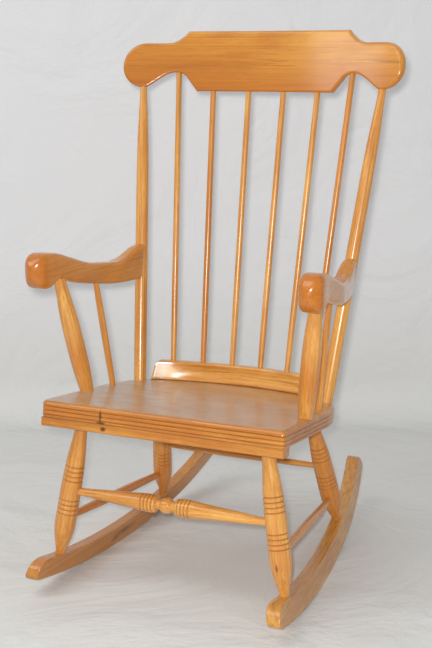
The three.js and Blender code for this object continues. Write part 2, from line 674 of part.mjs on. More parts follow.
const seatBack = SEAT_DEPTH * Math.cos(SEAT_PITCH);
const frontNeck = flat(SEAT_WIDTH / 2 - FRONT_LEG_INSET.x, FRONT_LEG_INSET.y);
const rearNeck = flat(SEAT_WIDTH / 2 - REAR_LEG_INSET.x, seatBack - REAR_LEG_INSET.y);
const frontLegs = SIDES.map(([side, sign]) => makeLeg(`front_leg_${side}`, sign, frontNeck, FRONT_LEG_SPLAY));
const rearLegs = SIDES.map(([side, sign]) => makeLeg(`rear_leg_${side}`, sign, rearNeck, REAR_LEG_SPLAY));

// A rocker's side view, with its four corners rounded.
function rockerOutline() {
  const noseLow = runner[0];
  const noseHigh = rockerTop[0];
  const tailLow = runner.at(-1);
  const tailHigh = rockerTop.at(-1);
  const toward = (from, to, reach) => from.clone().lerp(to, reach / from.distanceTo(to));
  const corner = (before, point, after, reach) => {
    const ends = [toward(point, before, reach), toward(point, after, reach)];
    return new THREE.QuadraticBezierCurve(ends[0], point, ends[1]).getPoints(BOARD_CORNER_STEPS);
  };
  const clearOf = (edge, corners) =>
    edge.filter((point) => corners.every(([place, reach]) => point.distanceTo(place) > reach));
  const round = ROCKER_RUNNER_ROUND;
  return [
    ...corner(noseHigh, noseLow, runner[1], round),
    ...clearOf(runner, [[noseLow, round], [tailLow, round]]),
    ...corner(runner.at(-2), tailLow, tailHigh, round),
    ...corner(tailLow, tailHigh, rockerTop.at(-2), ROCKER_HEEL_ROUND),
    ...clearOf(rockerTop, [[noseHigh, ROCKER_TOE_ROUND], [tailHigh, ROCKER_HEEL_ROUND]]).reverse(),
    ...corner(rockerTop[1], noseHigh, noseLow, ROCKER_TOE_ROUND),
  ];
}

// A rocker passes through both feet of its side and leans in at the top; its underside stays level across.
const rockers = SIDES.map(([side, sign], i) => {
  const [front, rear] = [frontLegs[i].foot, rearLegs[i].foot];
  const lean = -sign * Math.tan(ROCKER_LEAN);
  const slope = (rear.x - front.x - lean * (rear.z - front.z)) / (rear.y - front.y);
  const offset = front.x + sign * ROCKER_OFFSET - slope * front.y - lean * front.z;
  const shear = new THREE.Matrix4().set(1, slope, lean, offset, 0, 1, 0, 0, 0, 0, 1, 0, 0, 0, 0, 1);
  const board = runAcross(new THREE.Shape(rockerOutline()), ROCKER_THICKNESS - 2 * ROCKER_EASE, {
    bevelEnabled: true,
    bevelThickness: ROCKER_EASE,
    bevelSize: ROCKER_EASE,
    bevelOffset: -ROCKER_EASE,
    bevelSegments: 1,
  });
  return addPiece(`rocker_${side}`, board.applyMatrix4(shear), runnerVarnish);
});

// Stretchers: their ends lie on the surfaces of two legs
function makeStretcher(name, [legA, heightA], [legB, heightB], form) {
  const a = axisAt(legA, heightA);
  const b = axisAt(legB, heightB);
  const along = b.clone().sub(a).normalize();
  const foot = a.clone().addScaledVector(along, radiusAt(legA, a));
  const head = b.clone().addScaledVector(along, -radiusAt(legB, b));
  return turnStick(name, foot, head, form);
}

// The front stretcher's outline is drawn from its bead out to each end.
const FRONT_SWELL_SHARES = [
  [0, 0.72], [0.02, 0.9], [0.09, 1], [0.16, 0.97], [0.22, 0.88], [0.446, 0.585], [0.674, 0.366], [0.88, 0.12], [1, 0],
];
const BEAD_SHARES = [[0, 1], [0.35, 0.93], [0.7, 0.68], [1, 0]];
function halfOutline(reach) {
  const beadEnd = FRONT_BEAD_LENGTH / 2;
  const shoulder = beadEnd + FRONT_WAIST_LENGTH;
  const waist = FRONT_WAIST_DIAMETER / 2;
  const bead = spread(flat(0, waist), flat(beadEnd, FRONT_BEAD_DIAMETER / 2), BEAD_SHARES);
  const start = flat(shoulder, FRONT_STRETCHER_END_DIAMETER / 2);
  const end = flat(reach - STICK_LEAD, FRONT_STRETCHER_DIAMETER / 2);
  const half = [...bead, flat(shoulder - RING_WIDTH / 2, waist), ...spread(start, end, FRONT_SWELL_SHARES)];
  return scoreRings(half, series(shoulder + FRONT_RING_START, FRONT_RING_PITCH, RINGS_IN_GROUP));
}

function frontStretcherOutline(length) {
  const bead = length / 2 + FRONT_BEAD_OFFSET;
  const before = halfOutline(bead).slice(1).reverse().map((point) => flat(bead - point.x, point.y));
  const after = halfOutline(length - bead).map((point) => flat(bead + point.x, point.y));
  return [...before, ...after];
}

const frontStretcherForm = {
  footDiameter: FRONT_STRETCHER_END_DIAMETER,
  headDiameter: FRONT_STRETCHER_END_DIAMETER,
  footTenon: STRETCHER_TENON,
  headTenon: STRETCHER_TENON,
  sides: 12,
  finish: amberVarnish,
  outline: frontStretcherOutline,
};
const PLAIN_SWELL_SHARES = [[0, 0], [0.12, 0.4], [0.3, 0.85], [0.5, 1], [0.7, 0.85], [0.88, 0.4], [1, 0]];
const sideStretcherForm = {
  footDiameter: SIDE_STRETCHER_END_DIAMETER,
  bellyDiameter: SIDE_STRETCHER_DIAMETER,
  headDiameter: SIDE_STRETCHER_END_DIAMETER,
  footTenon: STRETCHER_TENON,
  headTenon: STRETCHER_TENON,
  swellShares: PLAIN_SWELL_SHARES,
  rings: 6,
  sides: 10,
  finish: amberVarnish,
  outline: (length) => swelling(length, sideStretcherForm),
};
const rearStretcherForm = {
  ...sideStretcherForm,
  footDiameter: REAR_STRETCHER_END_DIAMETER,
  bellyDiameter: REAR_STRETCHER_DIAMETER,
  headDiameter: REAR_STRETCHER_END_DIAMETER,
  outline: (length) => swelling(length, rearStretcherForm),
};

const [frontEnds, rearEnds] = [
  frontLegs.map((leg) => [leg, FRONT_STRETCHER_HEIGHT]),
  rearLegs.map((leg) => [leg, REAR_STRETCHER_HEIGHT]),
];
const frontStretcher = makeStretcher("front_stretcher", ...frontEnds, frontStretcherForm);
const rearStretcher = makeStretcher("rear_stretcher", ...rearEnds, rearStretcherForm);
const sideStretchers = SIDES.map(([side], i) => {
  const ends = [[frontLegs[i], SIDE_STRETCHER_FRONT_HEIGHT], [rearLegs[i], SIDE_STRETCHER_REAR_HEIGHT]];
  return makeStretcher(`side_stretcher_${side}`, ...ends, sideStretcherForm);
});

// Arms
const SCROLL_END = degToRad(-52); // where the notch leaves the scroll's circle
const SCROLL_TIP_SHARE = 0.04; // how much of the scroll's half turn its flat tip leaves out
const ARM_TOP_SHARES = [[0, 1], [0.14, 0.91], [0.32, 0.65], [0.64, 0.21], [1, 0]];
const ARM_REAR_SHARES = [[0, 0], [0.35, 0.2], [0.75, 0.84], [1, 1]];
const ARM_UNDER_SHARES = [[0, 1], [0.25, 0.62], [0.55, 0.32], [0.86, 0.07], [1, 0]];
const ARM_UNDER_REAR_SHARES = [[0, 0], [0.4, 0.7], [1, 1]];
const ARM_OUTER_SHARES = [[0, 0], [0.24, 0.06], [0.47, 0.15], [0.6, 0.4], [0.735, 0.61], [0.867, 0.81], [1, 1]];
const ARM_INNER_SHARES = [[0, 0], [0.24, 0.19], [0.47, 0.33], [0.6, 0.46], [0.735, 0.75], [0.867, 0.92], [1, 1]];

// Where the back posts are level with the middle of the arms' rear ends.
const armRearTop = SEAT_FRONT_HEIGHT + ARM_REAR_RISE;
const armMeets = posts.map((post) => axisAt(post, armRearTop - ARM_REAR_THICKNESS / 2));
const armBack = armMeets[0].y - radiusAt(posts[0], armMeets[0]) + ARM_COPE_DEPTH;

// The arm's upper and lower edges from the side: behind the seat's front edge, and above the floor.
function armEdges() {
  const scroll = flat(ARM_SCROLL_BACK, SEAT_FRONT_HEIGHT + ARM_SCROLL_RISE);
  const crown = scroll.y + ARM_SCROLL_RADIUS;
  const waist = flat(ARM_WAIST_BACK, SEAT_FRONT_HEIGHT + ARM_WAIST_RISE);
  const under = flat(waist.x, waist.y - ARM_WAIST_THICKNESS);
  const notch = flat(ARM_NOTCH_BACK, SEAT_FRONT_HEIGHT + ARM_NOTCH_RISE);
  const rearTop = flat(armBack, armRearTop);
  const rearUnder = flat(armBack, armRearTop - ARM_REAR_THICKNESS);
  const tip = 2 * QUARTER * (1 - SCROLL_TIP_SHARE);
  const upper = [
    ...arc(scroll, ARM_SCROLL_RADIUS, tip, QUARTER, SCROLL_STEPS / 2).slice(0, -1),
    ...smooth(spread(flat(scroll.x, waist.y), flat(waist.x, crown), ARM_TOP_SHARES), ARM_CURVE_STEPS),
    ...smooth(spread(waist, rearTop, ARM_REAR_SHARES), ARM_CURVE_STEPS / 2).slice(1),
  ];
  const lower = [
    ...arc(scroll, ARM_SCROLL_RADIUS, -tip, SCROLL_END, SCROLL_STEPS - 2),
    ...smooth(spread(flat(notch.x, under.y), flat(under.x, notch.y), ARM_UNDER_SHARES), ARM_CURVE_STEPS),
    ...smooth(spread(under, rearUnder, ARM_UNDER_REAR_SHARES), ARM_CURVE_STEPS / 2).slice(1),
  ];
  return { upper, lower };
}
const armOutline = armEdges();

// The arm's two faces in plan, from its tip to its rear end.
const armTip = ARM_SCROLL_BACK - ARM_SCROLL_RADIUS;
function armFace(faceSign, shares) {
  const front = SEAT_WIDTH / 2 + ARM_OVERHANG + (faceSign * ARM_FRONT_WIDTH) / 2;
  const rear = Math.abs(armMeets[0].x) + ARM_REAR_OFFSET + (faceSign * ARM_REAR_WIDTH) / 2;
  return smooth(spread(flat(armTip, front), flat(armBack, rear), shares), 2 * ARM_CURVE_STEPS);
}
const armOuter = armFace(1, ARM_OUTER_SHARES);
const armInner = armFace(-1, ARM_INNER_SHARES);
const armMiddle = (back) => (heightAt(armOuter, back) + heightAt(armInner, back)) / 2;
const armWidth = (back) => heightAt(armOuter, back) - heightAt(armInner, back);

// The rear end leans back with the post; the lean grows from nothing at the waist.
const postLean = (posts[0].head.y - posts[0].foot.y) / (posts[0].head.z - posts[0].foot.z);
function armPoint(back, sign, point) {
  const share = clamp((back - ARM_WAIST_BACK) / (armBack - ARM_WAIST_BACK), 0, 1);
  const lean = share ** 2 * postLean * (point.y - armMeets[0].z);
  return at(sign * armMiddle(back) + point.x, back + lean, point.y);
}

function armSection(back) {
  const half = easedHalf(armWidth(back), ARM_TIP_ROUND, back - armTip);
  return easedBox(half, heightAt(armOutline.lower, back), heightAt(armOutline.upper, back), ARM_EASE);
}

const armPlaces = [...armOutline.upper, ...armOutline.lower].map((point) => point.x);
const armStations = thinned(armPlaces, ARM_EASE / 2).reverse();
const arms = SIDES.map(([side, sign]) => {
  const geometry = loft(armStations, armSection, (back, point) => armPoint(back, sign, point));
  return addPiece(`arm_${side}`, geometry, russetVarnish);
});

// A round pin of the arm's own wood that enters the back post.
function armTenon(i, clearance) {
  const rear = armMeets[i];
  const front = at(SIDES[i][1] * armMiddle(ARM_WAIST_BACK), ARM_WAIST_BACK, rear.z);
  const shoulder = -radiusAt(posts[i], rear);
  const [start, end] = [shoulder - ARM_TENON_ROOT, shoulder + ARM_TENON + clearance];
  const radius = ARM_TENON_DIAMETER / 2 + clearance;
  const pin = new THREE.CylinderGeometry(radius, radius, end - start, spindleForm.sides);
  pin.translate(0, (start + end) / 2, 0);
  const turn = new THREE.Quaternion().setFromUnitVectors(at(0, 1, 0), rear.clone().sub(front).normalize());
  return pin.applyMatrix4(new THREE.Matrix4().makeRotationFromQuaternion(turn).setPosition(rear));
}

// Arm posts and arm spindles
const armPostForm = {
  footDiameter: ARM_POST_FOOT_DIAMETER,
  bellyDiameter: ARM_POST_BELLY_DIAMETER,
  headDiameter: ARM_POST_HEAD_DIAMETER,
  footTenon: ARM_POST_TENON,
  headTenon: ARM_POST_TENON,
  swellShares: [[0, 0], [0.1, 0.6], [0.26, 0.92], [0.42, 1], [0.62, 0.9], [0.82, 0.5], [1, 0]],
  rings: 7,
  sides: 10,
  finish: amberVarnish,
  outline: (length) => swelling(length, armPostForm),
};
const armSpindleForm = {
  footDiameter: ARM_SPINDLE_END_DIAMETER,
  bellyDiameter: ARM_SPINDLE_BELLY_DIAMETER,
  headDiameter: ARM_SPINDLE_END_DIAMETER,
  footTenon: ARM_SPINDLE_TENON,
  headTenon: ARM_SPINDLE_TENON,
  swellShares: PLAIN_SWELL_SHARES,
  rings: 5,
  sides: 8,
  finish: amberVarnish,
  outline: (length) => swelling(length, armSpindleForm),
};

function makeArmStick(name, sign, footInset, headInset, headBack, form) {
  const foot = onSeat(sign * (SEAT_WIDTH / 2 - footInset.x), footInset.y);
  const head = at(sign * (armMiddle(headBack) - headInset), headBack, heightAt(armOutline.lower, headBack));
  return turnStick(name, foot, head, form);
}
const armPosts = SIDES.map(([side, sign]) => {
  const head = [ARM_POST_HEAD_INSET, ARM_POST_HEAD_BACK];
  return makeArmStick(`arm_post_${side}`, sign, ARM_POST_INSET, ...head, armPostForm);
});
const armSpindles = SIDES.map(([side, sign]) => {
  const head = [ARM_SPINDLE_HEAD_INSET, ARM_SPINDLE_HEAD_BACK];
  return makeArmStick(`arm_spindle_${side}`, sign, ARM_SPINDLE_INSET, ...head, armSpindleForm);
});

// Sockets
const heads = (sticks) => sticks.map((stick) => socket(stick, "head"));
const feet = (sticks) => sticks.map((stick) => socket(stick, "foot"));

cutAway(seat, [...heads(frontLegs), ...heads(rearLegs), ...feet(posts), ...feet(armPosts), ...feet(armSpindles)]);
cutAway(rail, feet(spindles));
cutAway(crest, [...heads(posts), ...heads(spindles)]);
for (const i of SIDES.keys()) {
  const crossEnd = i === 0 ? "foot" : "head";
  cutAway(rockers[i], feet([frontLegs[i], rearLegs[i]]));
  cutAway(frontLegs[i].piece, [socket(frontStretcher, crossEnd), socket(sideStretchers[i], "foot")]);
  cutAway(rearLegs[i].piece, [socket(rearStretcher, crossEnd), socket(sideStretchers[i], "head")]);
  cutAway(arms[i], [grown(posts[i]), ...heads([armPosts[i], armSpindles[i]])]);
  joinTo(arms[i], armTenon(i, 0));
  cutAway(posts[i].piece, [armTenon(i, FIT_GAP)]);
}

// Last, the chair stands on the floor with its box's middle over the origin.
const box = new THREE.Box3().setFromObject(joinery, true);
const middle = box.getCenter(at(0, 0, 0));
joinery.position.set(-middle.x, -middle.y, -box.min.z);
chair.updateMatrixWorld(true);

export default chair;
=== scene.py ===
# %% [markdown]
# A Boston rocking chair in honey-coloured varnish: turned sticks, sawn boards and one thick plank. The
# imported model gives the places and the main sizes. It is made of flat facets, so every piece is modelled
# again here, in its place, with true curves, eased edges, stouter sticks and wood that has a grain.

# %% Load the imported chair
import math

import bpy
from mathutils import Matrix, Vector


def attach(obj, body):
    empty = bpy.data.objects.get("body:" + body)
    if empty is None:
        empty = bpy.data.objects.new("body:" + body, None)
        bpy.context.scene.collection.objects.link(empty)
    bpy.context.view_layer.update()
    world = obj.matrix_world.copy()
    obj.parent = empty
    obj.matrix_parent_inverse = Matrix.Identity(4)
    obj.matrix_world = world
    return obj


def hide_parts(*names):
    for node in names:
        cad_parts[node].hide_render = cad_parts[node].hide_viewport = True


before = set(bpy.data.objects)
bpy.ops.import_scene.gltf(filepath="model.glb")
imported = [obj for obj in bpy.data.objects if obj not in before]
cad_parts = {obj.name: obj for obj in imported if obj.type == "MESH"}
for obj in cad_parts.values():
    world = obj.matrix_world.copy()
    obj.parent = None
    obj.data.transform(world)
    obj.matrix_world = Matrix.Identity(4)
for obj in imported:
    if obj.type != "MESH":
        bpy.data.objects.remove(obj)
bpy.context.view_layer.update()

# %% [markdown]
# A chairmaker measures from the front edge of the seat and from the floor, in millimetres. Blender works in
# metres, so one helper turns such a measure into a place. The seat, its strip and its rail are drawn level,
# and one matrix then tilts them on to the chair.

# %% Measures
MM = 0.001
SEAT_FOOT = Vector((0, -0.318529, -0.000125))  # on the floor, under the middle of the seat's front edge
SEAT_FRONT_HEIGHT, SEAT_PITCH = 391, math.radians(7.5)
SIDEWAYS, BACKWARDS, UPWARDS = Vector((1, 0, 0)), Vector((0, 1, 0)), Vector((0, 0, 1))


def mm(*sizes):
    """A place or a move that is given in millimetres."""
    return Vector(sizes) * MM


def spot(x, back, up):
    """A place given in millimetres from the floor under the seat's front edge."""
    return SEAT_FOOT + mm(x, back, up)


on_seat = Matrix.Translation(spot(0, 0, SEAT_FRONT_HEIGHT)) @ Matrix.Rotation(-SEAT_PITCH, 4, "X")
print("Seat's front edge at", on_seat.translation)

# %% [markdown]
# Most of these pieces start as a line: half of a turned profile, or the outline of a board. The line is
# drawn as by hand, from one vertex that is extruded from point to point, and its round stretches are arcs.
# Everything is deselected before each piece, because an operator acts on all that is selected.

# %% A line drawn by extruding
SAME_PLACE = 1e-6  # two points that are nearer than this, in metres, are one
SEED_SIZE = 0.01  # the small square that each line starts from, merged to one vertex


def start_clean():
    """Leaves edit mode and deselects every object."""
    if bpy.context.object and bpy.context.object.mode != "OBJECT":
        bpy.ops.object.mode_set(mode="OBJECT")
    bpy.ops.object.select_all(action="DESELECT")


def arc(centre, radius, start, end, steps):
    """Points of an arc, in equal steps from one angle to the other."""
    turns = [start + (end - start) * step / steps for step in range(steps + 1)]
    return [(centre[0] + radius * math.cos(turn), centre[1] + radius * math.sin(turn)) for turn in turns]


def extrude_by(move):
    """Extrudes what is selected by a move in metres."""
    bpy.ops.mesh.extrude_region_move(TRANSFORM_OT_translate={"value": move})


def draw_line(name, points, closed=False):
    """A new piece that is one line, left in edit mode with all of it selected."""
    start_clean()
    bpy.ops.mesh.primitive_plane_add(size=SEED_SIZE, location=points[0])
    bpy.ops.object.transform_apply(location=True)
    piece = bpy.context.object
    piece.name = name
    bpy.ops.object.mode_set(mode="EDIT")
    bpy.ops.mesh.select_mode(type="VERT")
    bpy.ops.mesh.merge(type="CENTER")
    route = points + points[:1] if closed else points
    for before, after in zip(route, route[1:]):
        extrude_by(Vector(after) - Vector(before))
    bpy.ops.mesh.select_all(action="SELECT")
    if closed:
        bpy.ops.mesh.remove_doubles(threshold=SAME_PLACE)
    return piece


print("A quarter circle in two steps is", arc((0, 0), 1, 0, math.pi / 2, 2))

# %% [markdown]
# A sawn board is a closed outline that is filled with a face and extruded by its thickness. Its rims are
# then eased, as with a spokeshave. For that the edges are picked by their place: both ends lie on one of
# the board's two faces. A board that will be bent is cut across first, so that it has vertices where it
# bends.

# %% Boards, rims and cuts
def turn_faces_out():
    """Turns all faces of the piece in edit mode outwards."""
    bpy.ops.mesh.select_all(action="SELECT")
    bpy.ops.mesh.normals_make_consistent(inside=False)


def draw_board(name, outline, across, thickness):
    """A board of an even thickness in millimetres, left in edit mode."""
    piece = draw_line(name, outline, closed=True)
    bpy.ops.mesh.edge_face_add()
    extrude_by(across * (thickness * MM))
    turn_faces_out()
    return piece


def select_in_edit(piece, wanted, edges=False):
    """Selects the vertices, or the edges, that pass a test of their own, and counts them."""
    bpy.ops.object.mode_set(mode="EDIT")
    bpy.ops.mesh.select_all(action="DESELECT")
    bpy.ops.mesh.select_mode(type="EDGE" if edges else "VERT")
    bpy.ops.object.mode_set(mode="OBJECT")
    count = 0
    for part in piece.data.edges if edges else piece.data.vertices:
        part.select = bool(wanted(part))
        count += part.select
    bpy.ops.object.mode_set(mode="EDIT")
    return count


def levels_along(piece, direction):
    """How far each vertex of a piece lies along a direction."""
    bpy.ops.object.mode_set(mode="OBJECT")
    return [vertex.co.dot(direction) for vertex in piece.data.vertices]


def round_selected(width, segments, clamped=False):
    """Bevels the selected edges to a round of this width in millimetres."""
    bpy.ops.mesh.bevel(
        offset=width * MM, offset_type="OFFSET", segments=segments, profile=0.5, clamp_overlap=clamped,
    )


def round_rims(piece, across, rims, width, segments):
    """Rounds the edges that lie wholly at one of these levels across the piece."""
    levels = levels_along(piece, across)

    def on_rim(edge):
        return any(all(abs(levels[i] - rim) < SAME_PLACE for i in edge.vertices) for rim in rims)

    select_in_edit(piece, on_rim, edges=True)
    round_selected(width, segments)


def ease_rims(piece, across, width, segments):
    """Rounds the edges between a board's two faces and its sawn edge."""
    levels = levels_along(piece, across)
    round_rims(piece, across, (min(levels), max(levels)), width, segments)


def cut_across(axis, places):
    """Cuts the piece in edit mode at each place along an axis, in millimetres."""
    for place in places:
        bpy.ops.mesh.select_all(action="SELECT")
        bpy.ops.mesh.bisect(plane_co=axis * (place * MM), plane_no=axis)


print("Rims are picked to within", SAME_PLACE, "m")

# %% [markdown]
# Wood is cut from a plank, and its grain runs straight through that plank whatever is turned or sawn from
# it. So each piece is marked with its timber: an attribute that keeps where every point lay in the plank,
# with the grain along its third number. Each plank has a number that shifts it, and a stick that is copied
# from another is shifted on from there, so no two pieces have the same figure. Three more attributes are
# shares from 0 to 1. One marks the bottoms of scored lines, where stain and dirt collect. One says how far a
# piece has darkened, because no two sticks of a chair age to quite the same tone. The last lays on a pale
# grey film: on the seat's top it is partly varnish worn dull and partly painted reflection, and on the
# rail's left end it is a painted highlight.

# %% Marks on a piece
GRAIN_ORDER = {"X": (1, 2, 0), "Y": (2, 0, 1), "Z": (0, 1, 2)}
PLANK_STEP = Vector((0.37, 0.91, 1.7))
PLANKS = {
    "seat_plank": 1, "seat_front_strip": 2, "crest_rail": 3, "front_leg_right": 4, "rear_leg_right": 6,
    "front_stretcher": 8, "rear_stretcher": 9, "side_stretcher_right": 10, "back_post_right": 12,
    "back_spindle_1": 14, "back_spindle_2": 15, "back_spindle_3": 16, "rocker_right": 17, "rocker_left": 18,
    "arm_right": 19, "arm_left": 20, "arm_post_right": 21, "arm_spindle_right": 23,
}


def in_plank(along, node):
    """Gives a point's place in a piece's plank, with the grain along one of the piece's own axes."""
    return lambda point: Vector([point[i] for i in GRAIN_ORDER[along]]) + PLANK_STEP * PLANKS[node]


def mark_timber(piece, place_of):
    """Stores each point's place in its plank."""
    bpy.ops.object.mode_set(mode="OBJECT")
    timber = piece.data.attributes.new("timber", "FLOAT_VECTOR", "POINT")
    for vertex, value in zip(piece.data.vertices, timber.data):
        value.vector = place_of(vertex.co)


def mark_share(piece, name, share_at):
    """Stores a share from 0 to 1 at each point: scored, tone, or film of wear and painted sheen."""
    marks = piece.data.attributes.new(name, "FLOAT", "POINT")
    for vertex, value in zip(piece.data.vertices, marks.data):
        value.value = share_at(vertex.co)


print("Planks are numbered for", len(PLANKS), "pieces")

# %% [markdown]
# A finish is a tree of nodes, small steps that work out the colour, the gloss and the bumps of every point.
# A few helpers keep such a tree readable: one adds a node and feeds its inputs, and the others are the
# steps that come again and again.

# %% Nodes of a finish
def new_tree(name):
    """A new material without nodes, and its tree."""
    material = bpy.data.materials.new(name)
    material.use_nodes = True
    material.node_tree.nodes.clear()
    return material, material.node_tree


def add_node(tree, kind, inputs, **settings):
    """Adds a node. Each of its inputs is given a number, a colour or the output that feeds it."""
    node = tree.nodes.new(kind)
    for setting, value in settings.items():
        setattr(node, setting, value)
    for socket, value in inputs.items():
        if isinstance(value, bpy.types.NodeSocket):
            tree.links.new(value, node.inputs[socket])
        else:
            node.inputs[socket].default_value = value
    return node


def mark_of(tree, name, output="Fac"):
    """Reads one of the marks of a piece."""
    node = add_node(tree, "ShaderNodeAttribute", {}, attribute_name=name, attribute_type="GEOMETRY")
    return node.outputs[output]


def between(tree, value, low, high, start=0.0, end=1.0):
    """Stretches the values from low to high over those from start to end."""
    inputs = {"Value": value, "From Min": low, "From Max": high, "To Min": start, "To Max": end}
    return add_node(tree, "ShaderNodeMapRange", inputs, clamp=True).outputs["Result"]


def times(tree, value, other):
    """One value times a number or another value."""
    return add_node(tree, "ShaderNodeMath", {0: value, 1: other}, operation="MULTIPLY").outputs[0]


def tinted(tree, base, share, colour):
    """Lays a share of a colour over a base, which is a colour or comes from another node."""
    base = (*base, 1) if isinstance(base, tuple) else base
    return add_node(tree, "ShaderNodeMix", {0: share, 6: base, 7: (*colour, 1)}, data_type="RGBA").outputs[2]


def shaded(colour, share):
    """A colour made darker."""
    return tuple(part * share for part in colour)


def drawn_out_noise(tree, timber, scale, detail, roughness, distortion):
    """Noise in the timber, drawn out in the direction of the smallest scale."""
    place = add_node(tree, "ShaderNodeMapping", {"Vector": timber, "Scale": scale}).outputs["Vector"]
    inputs = {"Scale": 1, "Detail": detail, "Roughness": roughness, "Distortion": distortion, "Vector": place}
    return add_node(tree, "ShaderNodeTexNoise", inputs).outputs["Fac"]


print("Half of a colour is", shaded((0.8, 0.4, 0.1), 0.5))

# %% [markdown]
# The finish is clear varnish over pale hardwood that has turned honey-coloured. Under it the colour varies
# slowly, with bands, growth lines, fine streaks and pores along the grain. A plain colour would look like
# plastic, and a picture of wood would stretch over the curves, so the figure is made of noise that is drawn
# out along the timber. Each layer is laid over the ones before it. Then come the scored lines, a few knots
# and smudges with ragged edges, and a pale film of worn varnish and painted sheen, all of them a little
# patchy. The varnish itself is a coat.

# %% Varnished wood
MOTTLE = ((42, 42, 26), 4, 0.6, 0.5)
PATCHES, PATCHES_SHOWN, PATCH_STRENGTH = ((16, 16, 6), 3, 0.6, 0.6), (0.36, 0.64), 0.6
# A layer has the scale, detail, roughness and distortion of its noise, then which of the noise's values
# show, and last how strongly it darkens the wood and to what shade of its deep colour.
FIGURE = {
    "bands": (((60, 60, 3), 3, 0.55, 1.4), (0.47, 0.66), 0.5, 0.8),
    "growth lines": (((120, 120, 2.6), 3, 0.55, 2.2), (0.6, 0.67), 0.5, 0.55),
    "streaks": (((240, 240, 5), 5, 0.66, 0.4), (0.38, 0.68), 0.5, 0.62),
    "pores": (((900, 900, 45), 3, 0.6, 0.0), (0.56, 0.7), 0.45, 0.35),
}
# How patchy the scored lines are, and the pale film of worn varnish and painted sheen.
LINE_PATCHES, FILM_AND_SHEEN_PATCHES = (0.35, 0.6, 0.5, 0.85), (0.34, 0.62, 0.25, 1.0)
SPOT_EDGE, SPOT_SHADE = 0.8, 0.3
GRAIN_STRENGTH, GRAIN_DEPTH = 0.12, 0.4 * MM
GLOSS_BELOW, GLOSS_ABOVE = 0.04, 0.08


def spot_share(tree, timber, mottle, centre, reach, blur, dark):
    """How dark a knot or smudge is: dark inside its reach, with a blurred and ragged edge."""
    offset = add_node(tree, "ShaderNodeVectorMath", {0: timber, 1: centre}, operation="SUBTRACT").outputs[0]
    share = add_node(tree, "ShaderNodeVectorMath", {0: offset, 1: reach}, operation="DIVIDE").outputs[0]
    distance = add_node(tree, "ShaderNodeVectorMath", {0: share}, operation="LENGTH").outputs["Value"]
    ragged = add_node(tree, "ShaderNodeMath", {0: distance, 1: mottle}, operation="ADD").outputs[0]
    return between(tree, ragged, SPOT_EDGE, SPOT_EDGE + blur, dark, 0.0)


def varnished_wood(name, pale, deep, scored, coat, gloss=0.3, wear_and_sheen_colour=(0.5, 0.4, 0.3), figure=1.0, spots=()):
    """Wood seen through varnish. A weaker figure leaves the growth lines as they are."""
    material, tree = new_tree(name)
    timber = mark_of(tree, "timber", "Vector")
    mottle = drawn_out_noise(tree, timber, *MOTTLE)
    patches = between(tree, drawn_out_noise(tree, timber, *PATCHES), *PATCHES_SHOWN)
    colour = tinted(tree, pale, times(tree, patches, PATCH_STRENGTH), deep)
    colour = tinted(tree, colour, mark_of(tree, "tone"), deep)
    layers = {}
    for layer, (noise, shown, strength, shade) in FIGURE.items():
        layers[layer] = between(tree, drawn_out_noise(tree, timber, *noise), *shown)
        strength *= 1 if layer == "growth lines" else figure
        colour = tinted(tree, colour, times(tree, layers[layer], strength), shaded(deep, shade))
    lines = times(tree, mark_of(tree, "scored"), between(tree, mottle, *LINE_PATCHES))
    colour = tinted(tree, colour, lines, scored)
    for centre, reach, blur, dark in spots:
        share = spot_share(tree, timber, mottle, centre, reach, blur, dark)
        colour = tinted(tree, colour, share, shaded(scored, SPOT_SHADE))
    # The pale film: worn varnish and painted reflection on the seat's top, a painted highlight on the rail's
    # end.
    film_and_sheen = times(tree, mark_of(tree, "film_and_sheen"), between(tree, mottle, *FILM_AND_SHEEN_PATCHES))
    colour = tinted(tree, colour, film_and_sheen, wear_and_sheen_colour)
    bumps = {"Strength": GRAIN_STRENGTH, "Distance": GRAIN_DEPTH, "Height": layers["streaks"]}
    shader = add_node(tree, "ShaderNodeBsdfPrincipled", {
        "Base Color": colour,
        "Roughness": between(tree, patches, 0, 1, gloss - GLOSS_BELOW, gloss + GLOSS_ABOVE),
        "Normal": add_node(tree, "ShaderNodeBump", bumps).outputs["Normal"],
        "Specular IOR Level": 0.1,
        "Coat Weight": 1.0,
        "Coat Roughness": coat,
        "Coat IOR": 1.5,
    })
    add_node(tree, "ShaderNodeOutputMaterial", {"Surface": shader.outputs["BSDF"]})
    return material


print("Layers of the figure:", *FIGURE)

# %% [markdown]
# The chair has four finishes. The turned sticks are amber, the crest and the arms are redder and plainer,
# and the seat and the rockers are browner and worn to a duller gloss. One leg has a knot, and so have the
# edge of the seat and the strip under it. A dark smudge lies on the left rocker, between its legs.

# %% The four finishes
def dark_spot(along, node, place, reach, blur, dark):
    """A knot or smudge, with its place on a piece and its reach from there in millimetres."""
    turned_reach = mm(*(reach[i] for i in GRAIN_ORDER[along]))
    return in_plank(along, node)(mm(*place)), turned_reach, blur, dark


